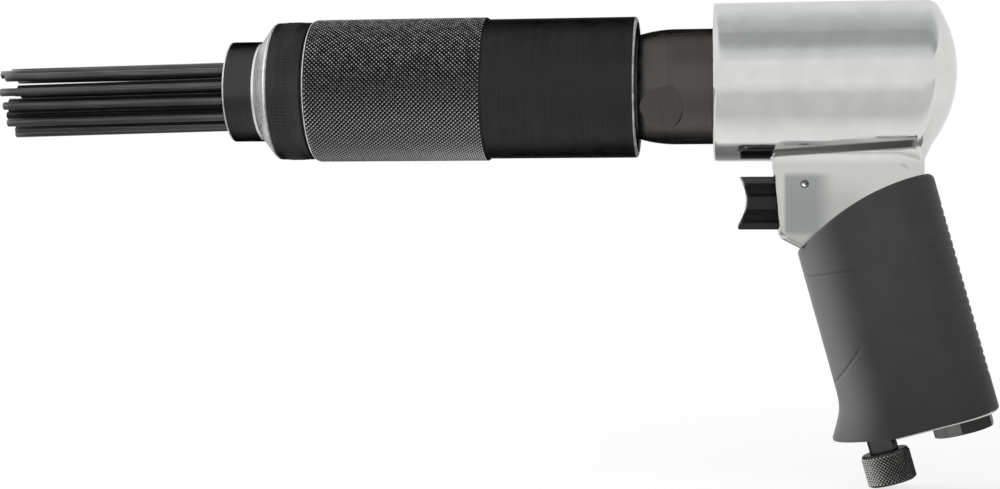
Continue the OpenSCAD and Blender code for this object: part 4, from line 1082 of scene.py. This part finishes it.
FLOOR_HALF = 6.0
FOOT_X = 0.25
floor = flat_sheet("floor", -FLOOR_HALF, FLOOR_HALF, -FLOOR_HALF, FLOOR_HALF, cad_low.z)
floor_finish, tree, shader = new_finish("pale_floor", (0.9, 0.9, 0.9), 0.0, 0.85)
away = distance(tree, calc(tree, "SUBTRACT", axis_of(tree, "X"), FOOT_X), axis_of(tree, "Y"))
white_share = product(tree, watched(tree), spread(tree, away, 0.75, 1.0, 0.08, 0.6))
glow = tree.nodes.new("ShaderNodeEmission").outputs[0]
blend = add_node(tree, "ShaderNodeMixShader", {0: white_share, 1: shader.outputs[0], 2: glow})
tree.links.new(blend.outputs[0], tree.nodes["Material Output"].inputs["Surface"])
floor.data.materials.append(floor_finish)
print("floor at", round(cad_low.z / MM, 1), "mm")


# %% Cards
def grey_card(name, x0, x1, z, stops, tint=(1, 1, 1)):
    start, end = stops[0][0], stops[-1][0]
    mat = bpy.data.materials.new(name)
    mat.use_nodes = True
    tree = mat.node_tree
    tree.nodes.remove(tree.nodes["Principled BSDF"])
    across = spread(tree, axis_of(tree, "Y"), 0, 1, start, end)
    across.node.interpolation_type = "LINEAR"
    shades = add_node(tree, "ShaderNodeValToRGB", {0: across})
    while len(shades.color_ramp.elements) < len(stops):
        shades.color_ramp.elements.new(0.5)
    for element, (place, grey) in zip(shades.color_ramp.elements, stops):
        element.position = (place - start) / (end - start)
        element.color = (*(grey * part for part in tint), 1)
    glow = add_node(tree, "ShaderNodeEmission", {"Color": shades.outputs[0]})
    tree.links.new(glow.outputs[0], tree.nodes["Material Output"].inputs["Surface"])
    sheet = flat_sheet(name, x0, x1, start, end, z)
    sheet.data.materials.append(mat)
    for kind in ("camera", "diffuse", "transmission", "volume_scatter", "shadow"):
        setattr(sheet, "visible_" + kind, False)


ABOVE = [(-1.9, 0.93), (-1.2, 0.78), (-0.98, 0.68), (-0.88, 0.55), (-0.7, 0.48), (-0.36, 0.46), (-0.3, 0.54),
         (0.02, 0.66), (0.34, 0.86), (0.7, 1.0)]
FRONT = [(-1.0, 0.96), (-0.58, 0.92), (-0.34, 0.74), (-0.12, 0.72), (-0.1, 0.8), (-0.05, 0.98), (0.012, 1.08)]
BEHIND = [(0.012, 0.8), (0.034, 0.24), (0.1, 0.2), (0.17, 0.3), (0.5, 0.75)]
UNDER_NOSE = [(-0.6, 0.9), (-0.45, 0.4), (0.2, 0.4), (0.35, 0.9)]
card_z = cad_low.z + 0.002
grey_card("card_above", 0.12, 2.4, 0.9, ABOVE, tint=(0.98, 1.01, 1.01))
grey_card("card_front", 0.12, 2.4, card_z, FRONT)
grey_card("card_behind", 0.12, 0.34, card_z, BEHIND)
grey_card("card_under_nose", -0.9, -0.03, card_z, UNDER_NOSE)
print("stage: floor and 4 cards")
